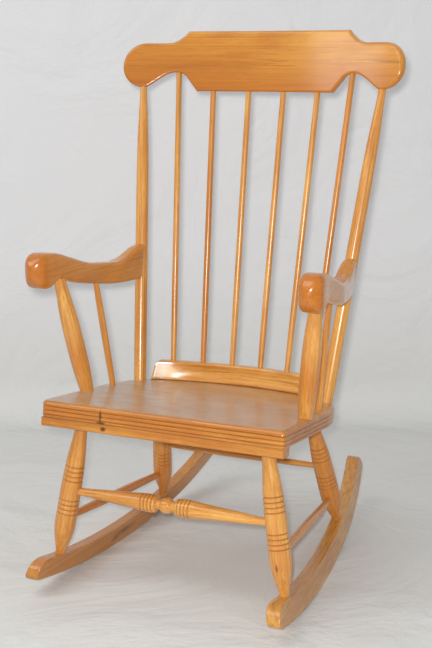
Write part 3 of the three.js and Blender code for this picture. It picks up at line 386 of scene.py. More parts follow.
leg_knot = dark_spot("Z", "front_leg_right", (-1.2, -19.5, 57), (2.8, 6, 8.5), 0.9, 0.85)
edge_knots = [
    dark_spot("X", "seat_plank", (-117, 0, -29.7), (15, 8, 4.5), 0.5, 0.95),
    dark_spot("X", "seat_plank", (-118.5, 0, -18), (3.2, 8, 18), 0.6, 0.9),
    dark_spot("X", "seat_front_strip", (-113, 3, -41), (9, 8, 6.5), 0.5, 0.95),
]
smudges = [
    dark_spot("Y", "rocker_left", (14, 272, 26), (6, 26, 5), 1.6, 0.7),
    dark_spot("Y", "rocker_left", (14, 235, 18), (6, 12, 4), 1.4, 0.6),
]
BROWN = (0.3, 0.09, 0.015)
finishes = {
    "amber_varnished_wood": varnished_wood(
        "amber varnish", (0.84, 0.445, 0.105), (0.60, 0.205, 0.03), BROWN, coat=0.22, spots=[leg_knot],
    ),
    "russet_varnished_wood": varnished_wood(
        "russet varnish", (0.82, 0.40, 0.06), (0.51, 0.158, 0.014), BROWN, coat=0.18, figure=0.55,
    ),
    # The seat's pale film colour is partly worn varnish and partly painted reflection.
    "seat_varnished_wood": varnished_wood(
        "seat varnish", (0.68, 0.31, 0.055), (0.44, 0.125, 0.013), (0.3, 0.07, 0.012),
        coat=0.28, gloss=0.4, wear_and_sheen_colour=(0.49, 0.395, 0.275), spots=edge_knots,
    ),
    "runner_varnished_wood": varnished_wood(
        "runner varnish", (0.73, 0.38, 0.09), (0.49, 0.17, 0.024), (0.2, 0.07, 0.02),
        coat=0.22, gloss=0.4, spots=smudges,
    ),
}
print("Finishes", sorted(finishes))

# %% [markdown]
# Every piece ends in the same way. Its faces are shaded smooth up to an angle, and on a board the large
# flat faces lead, so that the eased rims don't shade them. Then it gets its finish, rides on the chair's
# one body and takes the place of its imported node.

# %% The last steps of a piece
def finish_piece(piece, node, slot, angle=30, tone=0.3, flat_faces=False, looks_like=None):
    """Smooths a piece, gives it its finish and puts it on the chair in place of its node.

    A piece that has stayed as pale as another finish's wood is given that one in looks_like.
    """
    start_clean()
    piece.select_set(True)
    bpy.context.view_layer.objects.active = piece
    bpy.ops.object.shade_smooth_by_angle(angle=math.radians(angle))
    if flat_faces:
        bpy.ops.object.modifier_add(type="WEIGHTED_NORMAL")
        piece.modifiers[-1].keep_sharp = True
        bpy.ops.object.modifier_apply(modifier=piece.modifiers[-1].name)
    for name, share in (("scored", 0), ("tone", tone)):
        if name not in piece.data.attributes:
            mark_share(piece, name, lambda point: share)
    piece.data.materials.clear()
    piece.data.materials.append(finishes[looks_like or slot])
    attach(piece, "root")
    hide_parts(node)
    places = zip(*(vertex.co for vertex in piece.data.vertices))
    sizes = [round((max(along) - min(along)) / MM) for along in places]
    print(node, "is", sizes, "mm,", len(piece.data.polygons), "faces")


print("Each piece prints its sizes when it is finished")

# %% [markdown]
# The seat is one thick plank, low at the back, with a straight front, sides that curve in and a round back
# edge. Its front corners are rounded, the left one more, from wear. Each rear corner is an arc that touches
# the side's arc and the back's arc, so its middle is found where two circles cross.

# %% Outline of the seat plank
SEAT_WIDTH, SEAT_DEPTH, SEAT_THICKNESS = 502, 460, 32.5
SEAT_BACK_RADIUS, SEAT_SIDE_RADIUS, SEAT_REAR_CORNER, SEAT_WIDEST_AT = 447, 300, 55, 240
SEAT_FRONT_CORNER, SEAT_WORN_CORNER = 8, 17
SEAT_BACK_MIDDLE = SEAT_DEPTH - SEAT_BACK_RADIUS


def seat_side(front_corner):
    """One side of the plank, from its front corner to its rear one, and where on the back's arc it ends."""
    half = SEAT_WIDTH / 2
    side, back = Vector((half - SEAT_SIDE_RADIUS, SEAT_WIDEST_AT)), Vector((0, SEAT_BACK_MIDDLE))
    reach_side, reach_back = SEAT_SIDE_RADIUS - SEAT_REAR_CORNER, SEAT_BACK_RADIUS - SEAT_REAR_CORNER
    apart = (side - back).length
    along = (reach_back**2 - reach_side**2 + apart**2) / (2 * apart)
    out = math.sqrt(reach_back**2 - along**2)
    line = (side - back) / apart
    corner = Vector((back.x + line.x * along + line.y * out, back.y + line.y * along - line.x * out))
    side_turn = math.atan2(corner.y - side.y, corner.x - side.x)
    back_turn = math.atan2(corner.y - back.y, corner.x - back.x)
    edge = arc((half - front_corner, front_corner), front_corner, -math.pi / 2, 0, 6)
    edge += arc(side, SEAT_SIDE_RADIUS, 0, side_turn, 12)
    return edge + arc(corner, SEAT_REAR_CORNER, side_turn, back_turn, 12)[1:], back_turn


def seat_outline():
    """The plank's whole edge from above, from the right front corner round to the left one."""
    (right, back_turn), (left, _) = seat_side(SEAT_FRONT_CORNER), seat_side(SEAT_WORN_CORNER)
    rear = arc((0, SEAT_BACK_MIDDLE), SEAT_BACK_RADIUS, back_turn, math.pi - back_turn, 36)
    return right + rear[1:-1] + [(-x, y) for x, y in reversed(left)]


print("The seat's outline has", len(seat_outline()), "points")

# %% [markdown]
# Three lines are scratched along the plank's edge. Its outline is filled and extruded up in steps, a ring
# of vertices at each scratch is pulled in, and the two rims are rounded: the top one widely, for the
# sitter's legs. The scratches are brown, but pale where the left front corner is rubbed. The top gets a
# pale grey film, more so on the left, that is partly worn varnish and partly painted reflection.

# %% Seat plank
SEAT_TOP_ROUND, SEAT_BOTTOM_ROUND = 8.8, 3
SCRATCHES, SCRATCH_WIDTH, SCRATCH_DEPTH = [10.5, 18.5, 26.5], 3, 1.6
RUBBED_BEFORE, RUBBED_LEFT_OF, RUBBED_SHARE = 20, -235, 0.3
# The first two set the pale film of worn varnish and painted reflection: its share in the middle and its rise
# per metre to the left.
SEAT_FILM_AND_SHEEN_MIDDLE, SEAT_FILM_AND_SHEEN_PER_METRE, TOP_SKIN, SCRATCH_SKIN = 0.66, 1.35, 0.3, 0.01
SEAT_CUTS = range(-225, 226, 25)


def scratch_share(point):
    """The bottoms of the scratches are brown, and paler at the rubbed corner."""
    rubbed = point.y < RUBBED_BEFORE * MM and point.x < RUBBED_LEFT_OF * MM
    in_scratch = any(abs(point.z + scratch * MM) < SCRATCH_SKIN * MM for scratch in SCRATCHES)
    return in_scratch * (RUBBED_SHARE if rubbed else 1)


def seat_film_and_sheen(point):
    """The pale film, worn varnish and painted reflection, lies on the top only, thicker to the left."""
    return (SEAT_FILM_AND_SHEEN_MIDDLE - SEAT_FILM_AND_SHEEN_PER_METRE * point.x) * (point.z > -TOP_SKIN * MM)


seat = draw_line("varnished_seat_plank", [mm(x, y, -SEAT_THICKNESS) for x, y in seat_outline()], closed=True)
bpy.ops.mesh.edge_face_add()
steps = {scratch + side * SCRATCH_WIDTH / 2 for scratch in SCRATCHES for side in (-1, 0, 1)}
levels = sorted({0, SEAT_THICKNESS, *steps}, reverse=True)
for low, high in zip(levels, levels[1:]):
    extrude_by(mm(0, 0, low - high))
turn_faces_out()
scratches = [-scratch * MM for scratch in SCRATCHES]
count = select_in_edit(seat, lambda vertex: any(abs(vertex.co.z - line) < SAME_PLACE for line in scratches))
bpy.ops.transform.shrink_fatten(value=-SCRATCH_DEPTH * MM)
round_rims(seat, UPWARDS, [0], SEAT_TOP_ROUND, 6)
round_rims(seat, UPWARDS, [-SEAT_THICKNESS * MM], SEAT_BOTTOM_ROUND, 3)
cut_across(SIDEWAYS, SEAT_CUTS)
mark_timber(seat, in_plank("X", "seat_plank"))
# A pale film on the top: partly worn varnish, partly painted reflection, stronger to the left.
mark_share(seat, "film_and_sheen", seat_film_and_sheen)
mark_share(seat, "scored", scratch_share)
seat.data.transform(on_seat)
finish_piece(seat, "seat_plank", "seat_varnished_wood", angle=25, flat_faces=True)
print("Scratched", count, "points round the edge")

# %% [markdown]
# A strip is glued under the front edge to make the plank look thicker. It is a box from a cube. Its two
# long lower edges are rounded over with a plane, and then all of its edges are broken a little with
# sandpaper. A bevel does both.

# %% Strip under the front edge
STRIP_HEIGHT, STRIP_DEPTH, STRIP_SETBACK, STRIP_ROUND, STRIP_SANDED = 18, 34, 3, 4, 0.5
GLUE = 0.3
STRIP_MIDDLE = mm(0, STRIP_SETBACK + STRIP_DEPTH / 2, -SEAT_THICKNESS - GLUE - STRIP_HEIGHT / 2)
STRIP_SIZE = mm(SEAT_WIDTH - 2 * STRIP_SETBACK, STRIP_DEPTH, STRIP_HEIGHT)

start_clean()
bpy.ops.mesh.primitive_cube_add(size=1, location=STRIP_MIDDLE, scale=STRIP_SIZE)
bpy.ops.object.transform_apply(location=True, scale=True)
strip = bpy.context.object
strip.name = "varnished_seat_front_strip"
corners = [vertex.co.copy() for vertex in strip.data.vertices]
strip_bottom = min(corner.z for corner in corners)


def on_long_lower_edge(edge):
    """Whether an edge runs sideways along the strip's bottom."""
    start, end = (corners[i] for i in edge.vertices)
    return max(start.z, end.z) - strip_bottom < SAME_PLACE and start.y == end.y


select_in_edit(strip, on_long_lower_edge, edges=True)
round_selected(STRIP_ROUND, 5)
bpy.ops.mesh.select_all(action="SELECT")
round_selected(STRIP_SANDED, 2, clamped=True)
mark_timber(strip, in_plank("X", "seat_front_strip"))
strip.data.transform(on_seat)
finish_piece(strip, "seat_front_strip", "seat_varnished_wood", flat_faces=True)

# %% [markdown]
# The rail that carries the spindles is sawn to the curve of the seat's back edge and hollowed at the front,
# so that it doesn't press on a sitter. Its section is drawn round its middle line. Towards its ends the
# hollow runs out and the front face tips back, and each end slopes in to a round upper corner.

# %% Section and ends of the spindle rail
RAIL_THICKNESS, RAIL_HEIGHT, RAIL_HOLLOW, RAIL_EASE, RAIL_SETBACK = 26, 43, 4, 4, 9
RAIL_END, RAIL_END_SPLAY, RAIL_END_SLOPE, RAIL_END_ROUND, RAIL_END_TILT = 211, 6, 9, 11, 4.1
HOLLOW_FADES, HOLLOW_GONE = 130, 180
HOLLOW_TOP, HOLLOW_FOOT = RAIL_HEIGHT - RAIL_EASE, GLUE + RAIL_EASE
RAIL_RADIUS = SEAT_BACK_RADIUS - RAIL_SETBACK - RAIL_THICKNESS / 2


def ramp(value, start, end):
    """A share that rises from 0 to 1 while a value goes from start to end."""
    return max(0, min(1, (value - start) / (end - start)))


def on_rail(along, out, up):
    """A place on the level rail: along its curve, out from its middle line, and up."""
    turn, reach = along / RAIL_RADIUS, RAIL_RADIUS + out
    return mm(reach * math.sin(turn), SEAT_BACK_MIDDLE + reach * math.cos(turn), up)


def rail_section():
    """The rail's section, from the foot of its rear face up, over and down its hollow front."""
    inner, ease = RAIL_THICKNESS / 2 - RAIL_EASE, RAIL_EASE
    section = arc((inner, HOLLOW_FOOT), ease, -math.pi / 2, 0, 4)
    section += arc((inner, HOLLOW_TOP), ease, 0, math.pi / 2, 4)
    section += arc((-inner, HOLLOW_TOP), ease, math.pi / 2, math.pi, 4)
    for share in (step / 12 for step in range(1, 12)):
        out = -RAIL_THICKNESS / 2 + RAIL_HOLLOW * math.sin(share * math.pi)
        section.append((out, HOLLOW_TOP + share * (HOLLOW_FOOT - HOLLOW_TOP)))
    return section + arc((-inner, HOLLOW_FOOT), ease, math.pi, 1.5 * math.pi, 4)


def rail_end(out, up):
    """Where the rail ends: further out at its front, further in at its top, with a round upper corner."""
    above = max(0, up - (RAIL_HEIGHT - RAIL_END_ROUND))
    corner = RAIL_END_ROUND - math.sqrt(RAIL_END_ROUND**2 - above**2)
    return RAIL_END - RAIL_END_SPLAY * out / RAIL_THICKNESS - RAIL_END_SLOPE * up / RAIL_HEIGHT - corner


print("The rail's section has", len(rail_section()), "points, and its top ends at", rail_end(0, RAIL_HEIGHT))

# %% [markdown]
# The section is spun about the middle of the seat's back edge, a little too far. Cutting the ends off would
# leave slivers in the rounded edges, so the whole length is drawn in instead, line by line, to where its
# end belongs, and the two ends are filled. The rail has stayed as pale as the sticks, so it gets their
# finish, with a pale film on its left end that is a painted highlight. Its slot keeps the name of the seat's
# wood.

# %% Spindle rail
RAIL_SPARE, RAIL_SPIN_STEPS, RAIL_END_EASE, AT_RAIL_END = 225, 60, 1.2, 0.1
# A painted highlight on the rail's left end: its strength, and where it starts and where it is full.
RAIL_PAINTED_HIGHLIGHT, RAIL_HIGHLIGHT_STARTS, RAIL_HIGHLIGHT_FULL = 0.62, -165, -180
RAIL_PLANK_PLACE = Vector((0.7, 1.3, 5))

section = [on_rail(-RAIL_SPARE, out, up) for out, up in rail_section()]
rail = draw_line("varnished_spindle_rail", section, closed=True)
turned = 2 * RAIL_SPARE / RAIL_RADIUS
bpy.ops.mesh.spin(steps=RAIL_SPIN_STEPS, angle=turned, center=mm(0, SEAT_BACK_MIDDLE, 0), axis=UPWARDS)
bpy.ops.object.mode_set(mode="OBJECT")
left_end, right_end = set(), set()
for vertex in rail.data.vertices:
    flat = vertex.co / MM - Vector((0, SEAT_BACK_MIDDLE, 0))
    along, out = RAIL_RADIUS * math.atan2(flat.x, flat.y), math.hypot(flat.x, flat.y) - RAIL_RADIUS
    if abs(abs(along) - RAIL_SPARE) < AT_RAIL_END:
        (right_end if along > 0 else left_end).add(vertex.index)
    if out < 0:
        hollow = RAIL_HOLLOW * math.sin(math.pi * ramp(flat.z, HOLLOW_TOP, HOLLOW_FOOT))
        tipped_back = RAIL_END_TILT * flat.z / RAIL_HEIGHT
        out += ramp(abs(along), HOLLOW_FADES, HOLLOW_GONE) * (tipped_back - hollow)
    vertex.co = on_rail(along / RAIL_SPARE * rail_end(out, flat.z), out, flat.z)
for end in (left_end, right_end):
    select_in_edit(rail, lambda vertex: vertex.index in end)
    bpy.ops.mesh.edge_face_add()
turn_faces_out()
ends = (left_end, right_end)
select_in_edit(rail, lambda edge: any(set(edge.vertices) <= end for end in ends), edges=True)
round_selected(RAIL_END_EASE, 2, clamped=True)


def in_bent_plank(point):
    """The rail's grain follows its curve."""
    flat = point - mm(0, SEAT_BACK_MIDDLE, 0)
    along = RAIL_RADIUS * MM * math.atan2(flat.x, flat.y)
    return RAIL_PLANK_PLACE + Vector((math.hypot(flat.x, flat.y), flat.z, along))


mark_timber(rail, in_bent_plank)
# The pale film on the rail's left end is a painted highlight.
mark_share(rail, "film_and_sheen", lambda point: RAIL_PAINTED_HIGHLIGHT * ramp(point.x / MM, RAIL_HIGHLIGHT_STARTS, RAIL_HIGHLIGHT_FULL))
rail.data.transform(on_seat)
finish_piece(rail, "spindle_rail", "seat_varnished_wood", tone=0.02, looks_like="amber_varnished_wood")

# %% [markdown]
# The crest is a wide board with a straight deep middle, a notch on each side and a round ear at each end.
# Half of its outline is drawn, and the other half is its mirror image. The ears are arcs. The sweeps
# between them are curves that are pulled towards a corner, and each corner is placed by its shares of the
# way between two points.

# %% Outline of the crest rail
CREST_HEIGHT = 131
EAR, EAR_RADIUS, EAR_START = (276, 56.8), 48.3, math.radians(-97)
NOTCH, DEEP_END, TOP_END, SWEEP_END = (207, 41), (156, 0), (184, CREST_HEIGHT), (228, 105.1)


def spread(start, end, shares):
    """Places a table of shares between two points."""
    return [tuple(a + (b - a) * share for a, b, share in zip(start, end, pair)) for pair in shares]


def bezier(points, steps):
    """Points of a curve that is pulled towards its inner points."""
    curve = []
    for step in range(steps + 1):
        level = [Vector(point) for point in points]
        while len(level) > 1:
            level = [a.lerp(b, step / steps) for a, b in zip(level, level[1:])]
        curve.append(tuple(level[0]))
    return curve


def crest_outline():
    """The crest from the front, as pairs of a distance from its middle and a height."""
    ear = arc(EAR, EAR_RADIUS, EAR_START, 0, 20)
    slope, bend = spread(DEEP_END, NOTCH, [(0.5, 0.76), (0.68, 1)])
    shoulder, hip = spread(NOTCH, ear[0], [(0.37, 0), (0.77, 0.87)])
    rise, fall = bezier([slope, bend, NOTCH], 10), bezier([NOTCH, shoulder, hip, ear[0]], 14)
    lower = [DEEP_END, *rise, *fall[1:], *ear[1:]]
    sweep = spread(TOP_END, SWEEP_END, [(0.5, 1)])[0]
    upper = [*bezier([TOP_END, sweep, SWEEP_END], 12), *arc(EAR, EAR_RADIUS, math.pi / 2, 0, 20)]
    right = lower + upper[-2::-1]
    return right + [(-x, up) for x, up in reversed(right)]


print("The crest's outline has", len(crest_outline()), "points")

# %% [markdown]
# Steam bends the crest to the sitter's back. Here it is sawn flat in the same way: the outline is filled
# and thickened, its rims are eased, and it is cut across so that a bend modifier can bend it. Last it leans
# back. Its wood is darkest along its lower edge and to the left.

# %% Crest rail
CREST_BEND_RADIUS, CREST_THICKNESS, CREST_EASE, CREST_LEAN = 760, 18, 5.5, math.radians(13)
CREST_FOOT = spot(0, 544, SEAT_FRONT_HEIGHT + 569.5)
CREST_TONE, CREST_TONE_UP, CREST_TONE_PER_METRE = 0.95, 0.75, 0.5
CREST_SPAN = 2 * (EAR[0] + EAR_RADIUS)
CREST_CUTS = range(-312, 313, 12)


def crest_tone(point):
    """The crest's tone falls with the height, and from left to right."""
    return CREST_TONE - CREST_TONE_UP * point.z / (CREST_HEIGHT * MM) - CREST_TONE_PER_METRE * point.x


outline = [mm(x, -CREST_THICKNESS / 2, up) for x, up in crest_outline()]
crest = draw_board("varnished_crest_rail", outline, BACKWARDS, CREST_THICKNESS)
ease_rims(crest, BACKWARDS, CREST_EASE, 5)
cut_across(SIDEWAYS, CREST_CUTS)
mark_timber(crest, in_plank("X", "crest_rail"))
mark_share(crest, "tone", crest_tone)
bend = crest.modifiers.new("steam bend", "SIMPLE_DEFORM")
bend.deform_method, bend.deform_axis, bend.angle = "BEND", "Z", -CREST_SPAN / CREST_BEND_RADIUS
bpy.ops.object.modifier_apply(modifier=bend.name)
lean = Matrix.Identity(4)
lean[1][2], lean[2][2] = math.sin(CREST_LEAN), math.cos(CREST_LEAN)
crest.data.transform(Matrix.Translation(CREST_FOOT) @ lean)
finish_piece(crest, "crest_rail", "russet_varnished_wood", flat_faces=True)

# %% [markdown]
# Each leg, post, spindle and stretcher is turned on a lathe, so half of its profile is all that it needs.
# The swelling is a table of shares, as a turner reads it off a pattern stick, with a smooth curve run
# through it. The profile keeps a plain lead at each end, where the wood enters its socket. Rings are scored
# into it last.

# %% Profile of a turned stick
STICK_LEAD = 5
RING_WIDTH, RING_DEPTH, RING_CLEAR = 3.6, 1.7, 0.7
GROOVE = [(-0.5, 0), (-0.3, 0.5), (-0.12, 0.94), (0, 1), (0.12, 0.94), (0.3, 0.5), (0.5, 0)]
PLAIN_SHARES = [(0, 0), (0.12, 0.4), (0.3, 0.85), (0.5, 1), (0.7, 0.85), (0.88, 0.4), (1, 0)]


def smooth(table, steps):
    """A smooth curve through a table of points, with so many steps to each gap."""
    curve = [table[0]]
    for i in range(len(table) - 1):
        before, here, there, after = (table[max(0, min(len(table) - 1, i + k))] for k in (-1, 0, 1, 2))
        for step in range(1, steps + 1):
            t = step / steps
            point = []
            for a, b, c, d in zip(before, here, there, after):
                lead, follow = (c - a) / 2, (d - b) / 2
                rise = 2 * b - 2 * c + lead + follow
                point.append(rise * t**3 + (3 * c - 3 * b - 2 * lead - follow) * t**2 + lead * t + b)
            curve.append(tuple(point))
    return curve


def height_at(outline, place):
    """Height of an outline at a place along it, and beyond its ends the height of the nearer end."""
    for (x0, y0), (x1, y1) in zip(outline, outline[1:]):
        if x0 <= place <= x1 and x1 > x0:
            return y0 + (y1 - y0) * (place - x0) / (x1 - x0)
    return outline[0][1] if place < outline[0][0] else outline[-1][1]


def swelling(length, ends, belly, shares):
    """A plain swelling stick: its radius along its length, from the foot to the head."""
    widest = next(along for along, out in shares if out == 1)
    profile = []
    for along, out in smooth(shares, 6):
        end = ends[0] if along < widest else ends[1]
        radius = (end + (belly - end) * ramp(out, 0, 1)) / 2
        profile.append((STICK_LEAD + along * (length - 2 * STICK_LEAD), radius))
    return profile


def score_rings(profile, places):
    """Scores narrow grooves, each with a rounded bottom, into a profile."""
    clear = RING_WIDTH * RING_CLEAR
    kept = [point for point in profile if all(abs(point[0] - place) > clear for place in places)]
    for place in places:
        for offset, depth in GROOVE:
            where = place + offset * RING_WIDTH
            kept.append((where, height_at(profile, where) - depth * RING_DEPTH))
    return sorted(kept)


print("A plain stick's profile has", len(swelling(300, (12, 12), 16, PLAIN_SHARES)), "points")

# %% [markdown]
# The profile is drawn as a line and spun once round. The tenons run on into the wood that holds them. A
# stick is then moved from the lathe to the line between its foot and its head. What stands on both sides is
# turned once and copied, each copy with its own mesh and from another part of the plank.

# %% Turning and setting a stick
TENON_TAPER = 0.86
SPIN_STEPS, FINE_SPIN_STEPS, THIN_SPIN_STEPS = 40, 56, 32


def length_of(foot, head):
    """The length between two places, in millimetres."""
    return (head - foot).length / MM


def turn_stick(node, profile, length, ends, tenon, rings=(), steps=SPIN_STEPS):
    """A stick on the lathe, standing upright on its foot."""
    foot, head = ends[0] / 2, ends[1] / 2
    line = [(0, -tenon), (foot * TENON_TAPER, -tenon), (foot, 0)]
    line += [(radius, along) for along, radius in profile]
    line += [(head, length), (head * TENON_TAPER, length + tenon), (0, length + tenon)]
    stick = draw_line(f"varnished_{node}", [mm(radius, 0, along) for radius, along in line])
    bpy.ops.mesh.spin(steps=steps, angle=math.tau, center=(0, 0, 0), axis=UPWARDS)
    bpy.ops.mesh.select_all(action="SELECT")
    bpy.ops.mesh.remove_doubles(threshold=SAME_PLACE)
    turn_faces_out()
    mark_timber(stick, in_plank("Z", node))

    def scored_share(point):
        return max([1 - abs(point.z / MM - ring) / (RING_WIDTH / 2) for ring in rings] + [0])

    mark_share(stick, "scored", scored_share)
    return stick


def copy_stick(stick, node, planks_on):
    """A copy with its own mesh, cut from so many planks further on."""
    start_clean()
    copy = stick.copy()
    copy.data = stick.data.copy()
    copy.name = f"varnished_{node}"
    bpy.context.scene.collection.objects.link(copy)
    for value in copy.data.attributes["timber"].data:
        value.vector = value.vector + PLANK_STEP * planks_on
    return copy


def set_stick(stick, node, foot, head, tone):
    """Sets a stick between its foot and its head. Its tone is a number or goes by the share of its length."""
    line = head - foot
    if callable(tone):
        mark_share(stick, "tone", lambda point: tone(point.z / line.length))
    turn = UPWARDS.rotation_difference(line.normalized())
    stick.data.transform(Matrix.Translation(foot) @ turn.to_matrix().to_4x4())
    finish_piece(stick, node, "amber_varnished_wood", tone=tone)


def mirrored(point):
    """The place on the other side of the chair."""
    return Vector((-point.x, point.y, point.z))


def turn_pair(node, profile, foot, head, ends, tenon, tones, **turning):
    """One pattern for the left and the right stick. Foot and head are the right one's."""
    right = turn_stick(f"{node}_right", profile, length_of(foot, head), ends, tenon, **turning)
    left = copy_stick(right, f"{node}_left", 1)
    set_stick(left, f"{node}_left", mirrored(foot), mirrored(head), tones[0])
    set_stick(right, f"{node}_right", foot, head, tones[1])


print("Tenons narrow to", TENON_TAPER, "of the stick's end")

# %% [markdown]
# The legs are long vases with two groups of four scored rings. The front pair and the rear pair have the
# same pattern and differ in length. They splay out to the rockers and are raked, so the chair stands wide.
# Their wood is darker towards the feet, most on the left front leg and the rear pair, so their tone goes by
# the height.

# %% Legs
LEG_SHARES = [
    (0, 0), (0.04, 0.21), (0.1, 0.6), (0.17, 0.92), (0.235, 1), (0.4, 0.98),
    (0.54, 0.91), (0.65, 0.77), (0.75, 0.5), (0.85, 0.16), (0.92, 0.02), (1, 0),
]
LEG_ENDS, LEG_BELLY, LEG_TENON = (19.5, 25), 42.4, 22
LEG_RING_GROUPS, LEG_RING_STEP = (104.5, 174), 9.7
LEG_RINGS = [middle + LEG_RING_STEP * step for middle in LEG_RING_GROUPS for step in (-1.5, -0.5, 0.5, 1.5)]


def toned(table):
    """A tone that goes by the share of a stick's length."""
    return lambda share: height_at(table, share)


front_leg = (spot(240, 38, 60.94), spot(192, 64, 349.79))
rear_leg = (spot(209, 448.06, 55.17), spot(172, 367.06, 309.89))
front_tones = (
    toned([(0, 0.62), (0.4, 0.12), (0.6, 0.12), (1, 0)]),
    toned([(0, 0.19), (0.3, 0.07), (1, 0.07)]),
)
rear_tones = (toned([(0, 0.75), (1, 0.45)]), toned([(0, 0.85), (1, 0.35)]))
for name, (foot, head), tones in (("front_leg", front_leg, front_tones), ("rear_leg", rear_leg, rear_tones)):
    profile = score_rings(swelling(length_of(foot, head), LEG_ENDS, LEG_BELLY, LEG_SHARES), LEG_RINGS)
    turn_pair(name, profile, foot, head, LEG_ENDS, LEG_TENON, tones, rings=LEG_RINGS, steps=FINE_SPIN_STEPS)

# %% [markdown]
# The front stretcher is seen most, so it is turned with the most care: a round bead between two waists, and
# on each side a swelling with four rings that tapers to the leg. Half of it is drawn from the middle of the
# bead and laid out to both sides. The bead stands a little to the left, as turned by eye.

# %% Front stretcher
SWELL_SHARES = [
    (0, 0.72), (0.02, 0.9), (0.09, 1), (0.16, 0.97), (0.22, 0.88),
    (0.446, 0.585), (0.674, 0.366), (0.88, 0.12), (1, 0),
]
BEAD_SHARES = [(0, 1), (0.35, 0.93), (0.7, 0.68), (1, 0)]
FRONT_END, SWELL_RADIUS, BEAD_RADIUS, BEAD_HALF, BEAD_SHIFT = 15.5, 18, 15.5, 12, 6
WAIST_LENGTH, WAIST_RADIUS, WAIST_DIP, WAIST_DIP_AT = 9, 10.5, 0.3, 3
FRONT_RING_START, FRONT_RING_STEP, STRETCHER_TENON = 6.5, 7.5, 13
SHOULDER = BEAD_HALF + WAIST_LENGTH
FRONT_RINGS = [SHOULDER + FRONT_RING_START + FRONT_RING_STEP * step for step in range(4)]


def half_stretcher(reach):
    """Half the front stretcher's profile, from the middle of its bead."""
    bead = spread((0, WAIST_RADIUS), (BEAD_HALF, BEAD_RADIUS), smooth(BEAD_SHARES, 4))
    waist = [(BEAD_HALF + WAIST_DIP_AT, WAIST_RADIUS - WAIST_DIP), (SHOULDER - RING_WIDTH / 2, WAIST_RADIUS)]
    swell = spread((SHOULDER, FRONT_END / 2), (reach - STICK_LEAD, SWELL_RADIUS), smooth(SWELL_SHARES, 5))
    return score_rings([*bead, *waist, *swell], FRONT_RINGS)


foot, head = spot(-197.83, 50.02, 194.5), spot(197.83, 50.02, 194.5)
length = length_of(foot, head)
bead_at = length / 2 - BEAD_SHIFT
profile = [(bead_at - along, radius) for along, radius in reversed(half_stretcher(bead_at)[1:])]
profile += [(bead_at + along, radius) for along, radius in half_stretcher(length - bead_at)]
rings = [bead_at + side * ring for side in (-1, 1) for ring in FRONT_RINGS]
ends = (FRONT_END, FRONT_END)
stretcher = turn_stick("front_stretcher", profile, length, ends, STRETCHER_TENON, rings, FINE_SPIN_STEPS)
set_stick(stretcher, "front_stretcher", foot, head, 0.08)

# %% [markdown]
# The other stretchers are plain, and they swell in their middles. The rear one joins the rear legs. The two
# at the sides slope down to the rear, and their wood is the darker.

# %% Rear and side stretchers
REAR_ENDS, REAR_BELLY = (11.5, 11.5), 15.5
SIDE_ENDS, SIDE_BELLY = (14.5, 14.5), 19

foot, head = spot(-170.58, 407.10, 184), spot(170.58, 407.10, 184)
length = length_of(foot, head)
profile = swelling(length, REAR_ENDS, REAR_BELLY, PLAIN_SHARES)
stretcher = turn_stick("rear_stretcher", profile, length, REAR_ENDS, STRETCHER_TENON)
set_stick(stretcher, "rear_stretcher", foot, head, 0.3)

foot, head = spot(226.16, 65.13, 134.42), spot(202.92, 412.48, 107.51)
profile = swelling(length_of(foot, head), SIDE_ENDS, SIDE_BELLY, PLAIN_SHARES)
turn_pair("side_stretcher", profile, foot, head, SIDE_ENDS, STRETCHER_TENON, (1.0, 0.75))

# %% [markdown]
# Two stout posts and six thin spindles make the back, fanned out from the rail to the crest. The spindles
# stand in mirrored pairs, so three are turned and three are copied, and each has a tone of its own.

# %% Back posts and spindles
POST_ENDS, POST_BELLY, POST_TENON = (26, 15.5), 27.5, 24
POST_SHARES = [
    (0, 0), (0.05, 0.7), (0.12, 1), (0.5, 0.98), (0.65, 0.94), (0.74, 0.9),
    (0.8, 0.79), (0.86, 0.6), (0.91, 0.38), (0.96, 0.12), (1, 0),
]
SPINDLE_ENDS, SPINDLE_BELLY, SPINDLE_TENON, TWIN_PLANKS_ON = (12, 12.2), 13.4, 20, 0.6
SPINDLE_SHARES = [(0, 0), (0.12, 0.75), (0.28, 1), (0.5, 0.8), (0.75, 0.5), (1, 0)]

post = (spot(213, 347.01, 345.32), spot(269.97, 496.45, 969.24))
post_profile = swelling(length_of(*post), POST_ENDS, POST_BELLY, POST_SHARES)
turn_pair("back_post", post_profile, *post, POST_ENDS, POST_TENON, (0.12, 0.15))

spindles = [
    (3, spot(-32.97, 438.60, 376.63), spot(-39.98, 542.95, 960.50), (0.1, 0.2)),
    (2, spot(-98.11, 428.49, 377.96), spot(-119.50, 534.55, 960.50), (0.7, 0.15)),
    (1, spot(-160.89, 408.51, 380.59), spot(-197.70, 526.93, 999.91), (0.15, 0.55)),
]
for number, foot, head, tones in spindles:
    node, twin_node = f"back_spindle_{number}", f"back_spindle_{7 - number}"
    length = length_of(foot, head)
    profile = swelling(length, SPINDLE_ENDS, SPINDLE_BELLY, SPINDLE_SHARES)
    spindle = turn_stick(node, profile, length, SPINDLE_ENDS, SPINDLE_TENON, steps=THIN_SPIN_STEPS)
    twin = copy_stick(spindle, twin_node, TWIN_PLANKS_ON)
    set_stick(spindle, node, foot, head, tones[0])
    set_stick(twin, twin_node, mirrored(foot), mirrored(head), tones[1])

# %% [markdown]
# A rocker is a long sawn board. Its underside is part of a large circle that tightens behind the rear legs,
# and it touches the floor under the chair's centre of weight. Its upper edge keeps an even distance from it,
# and the four corners at its nose and its tail are rounded with curves.

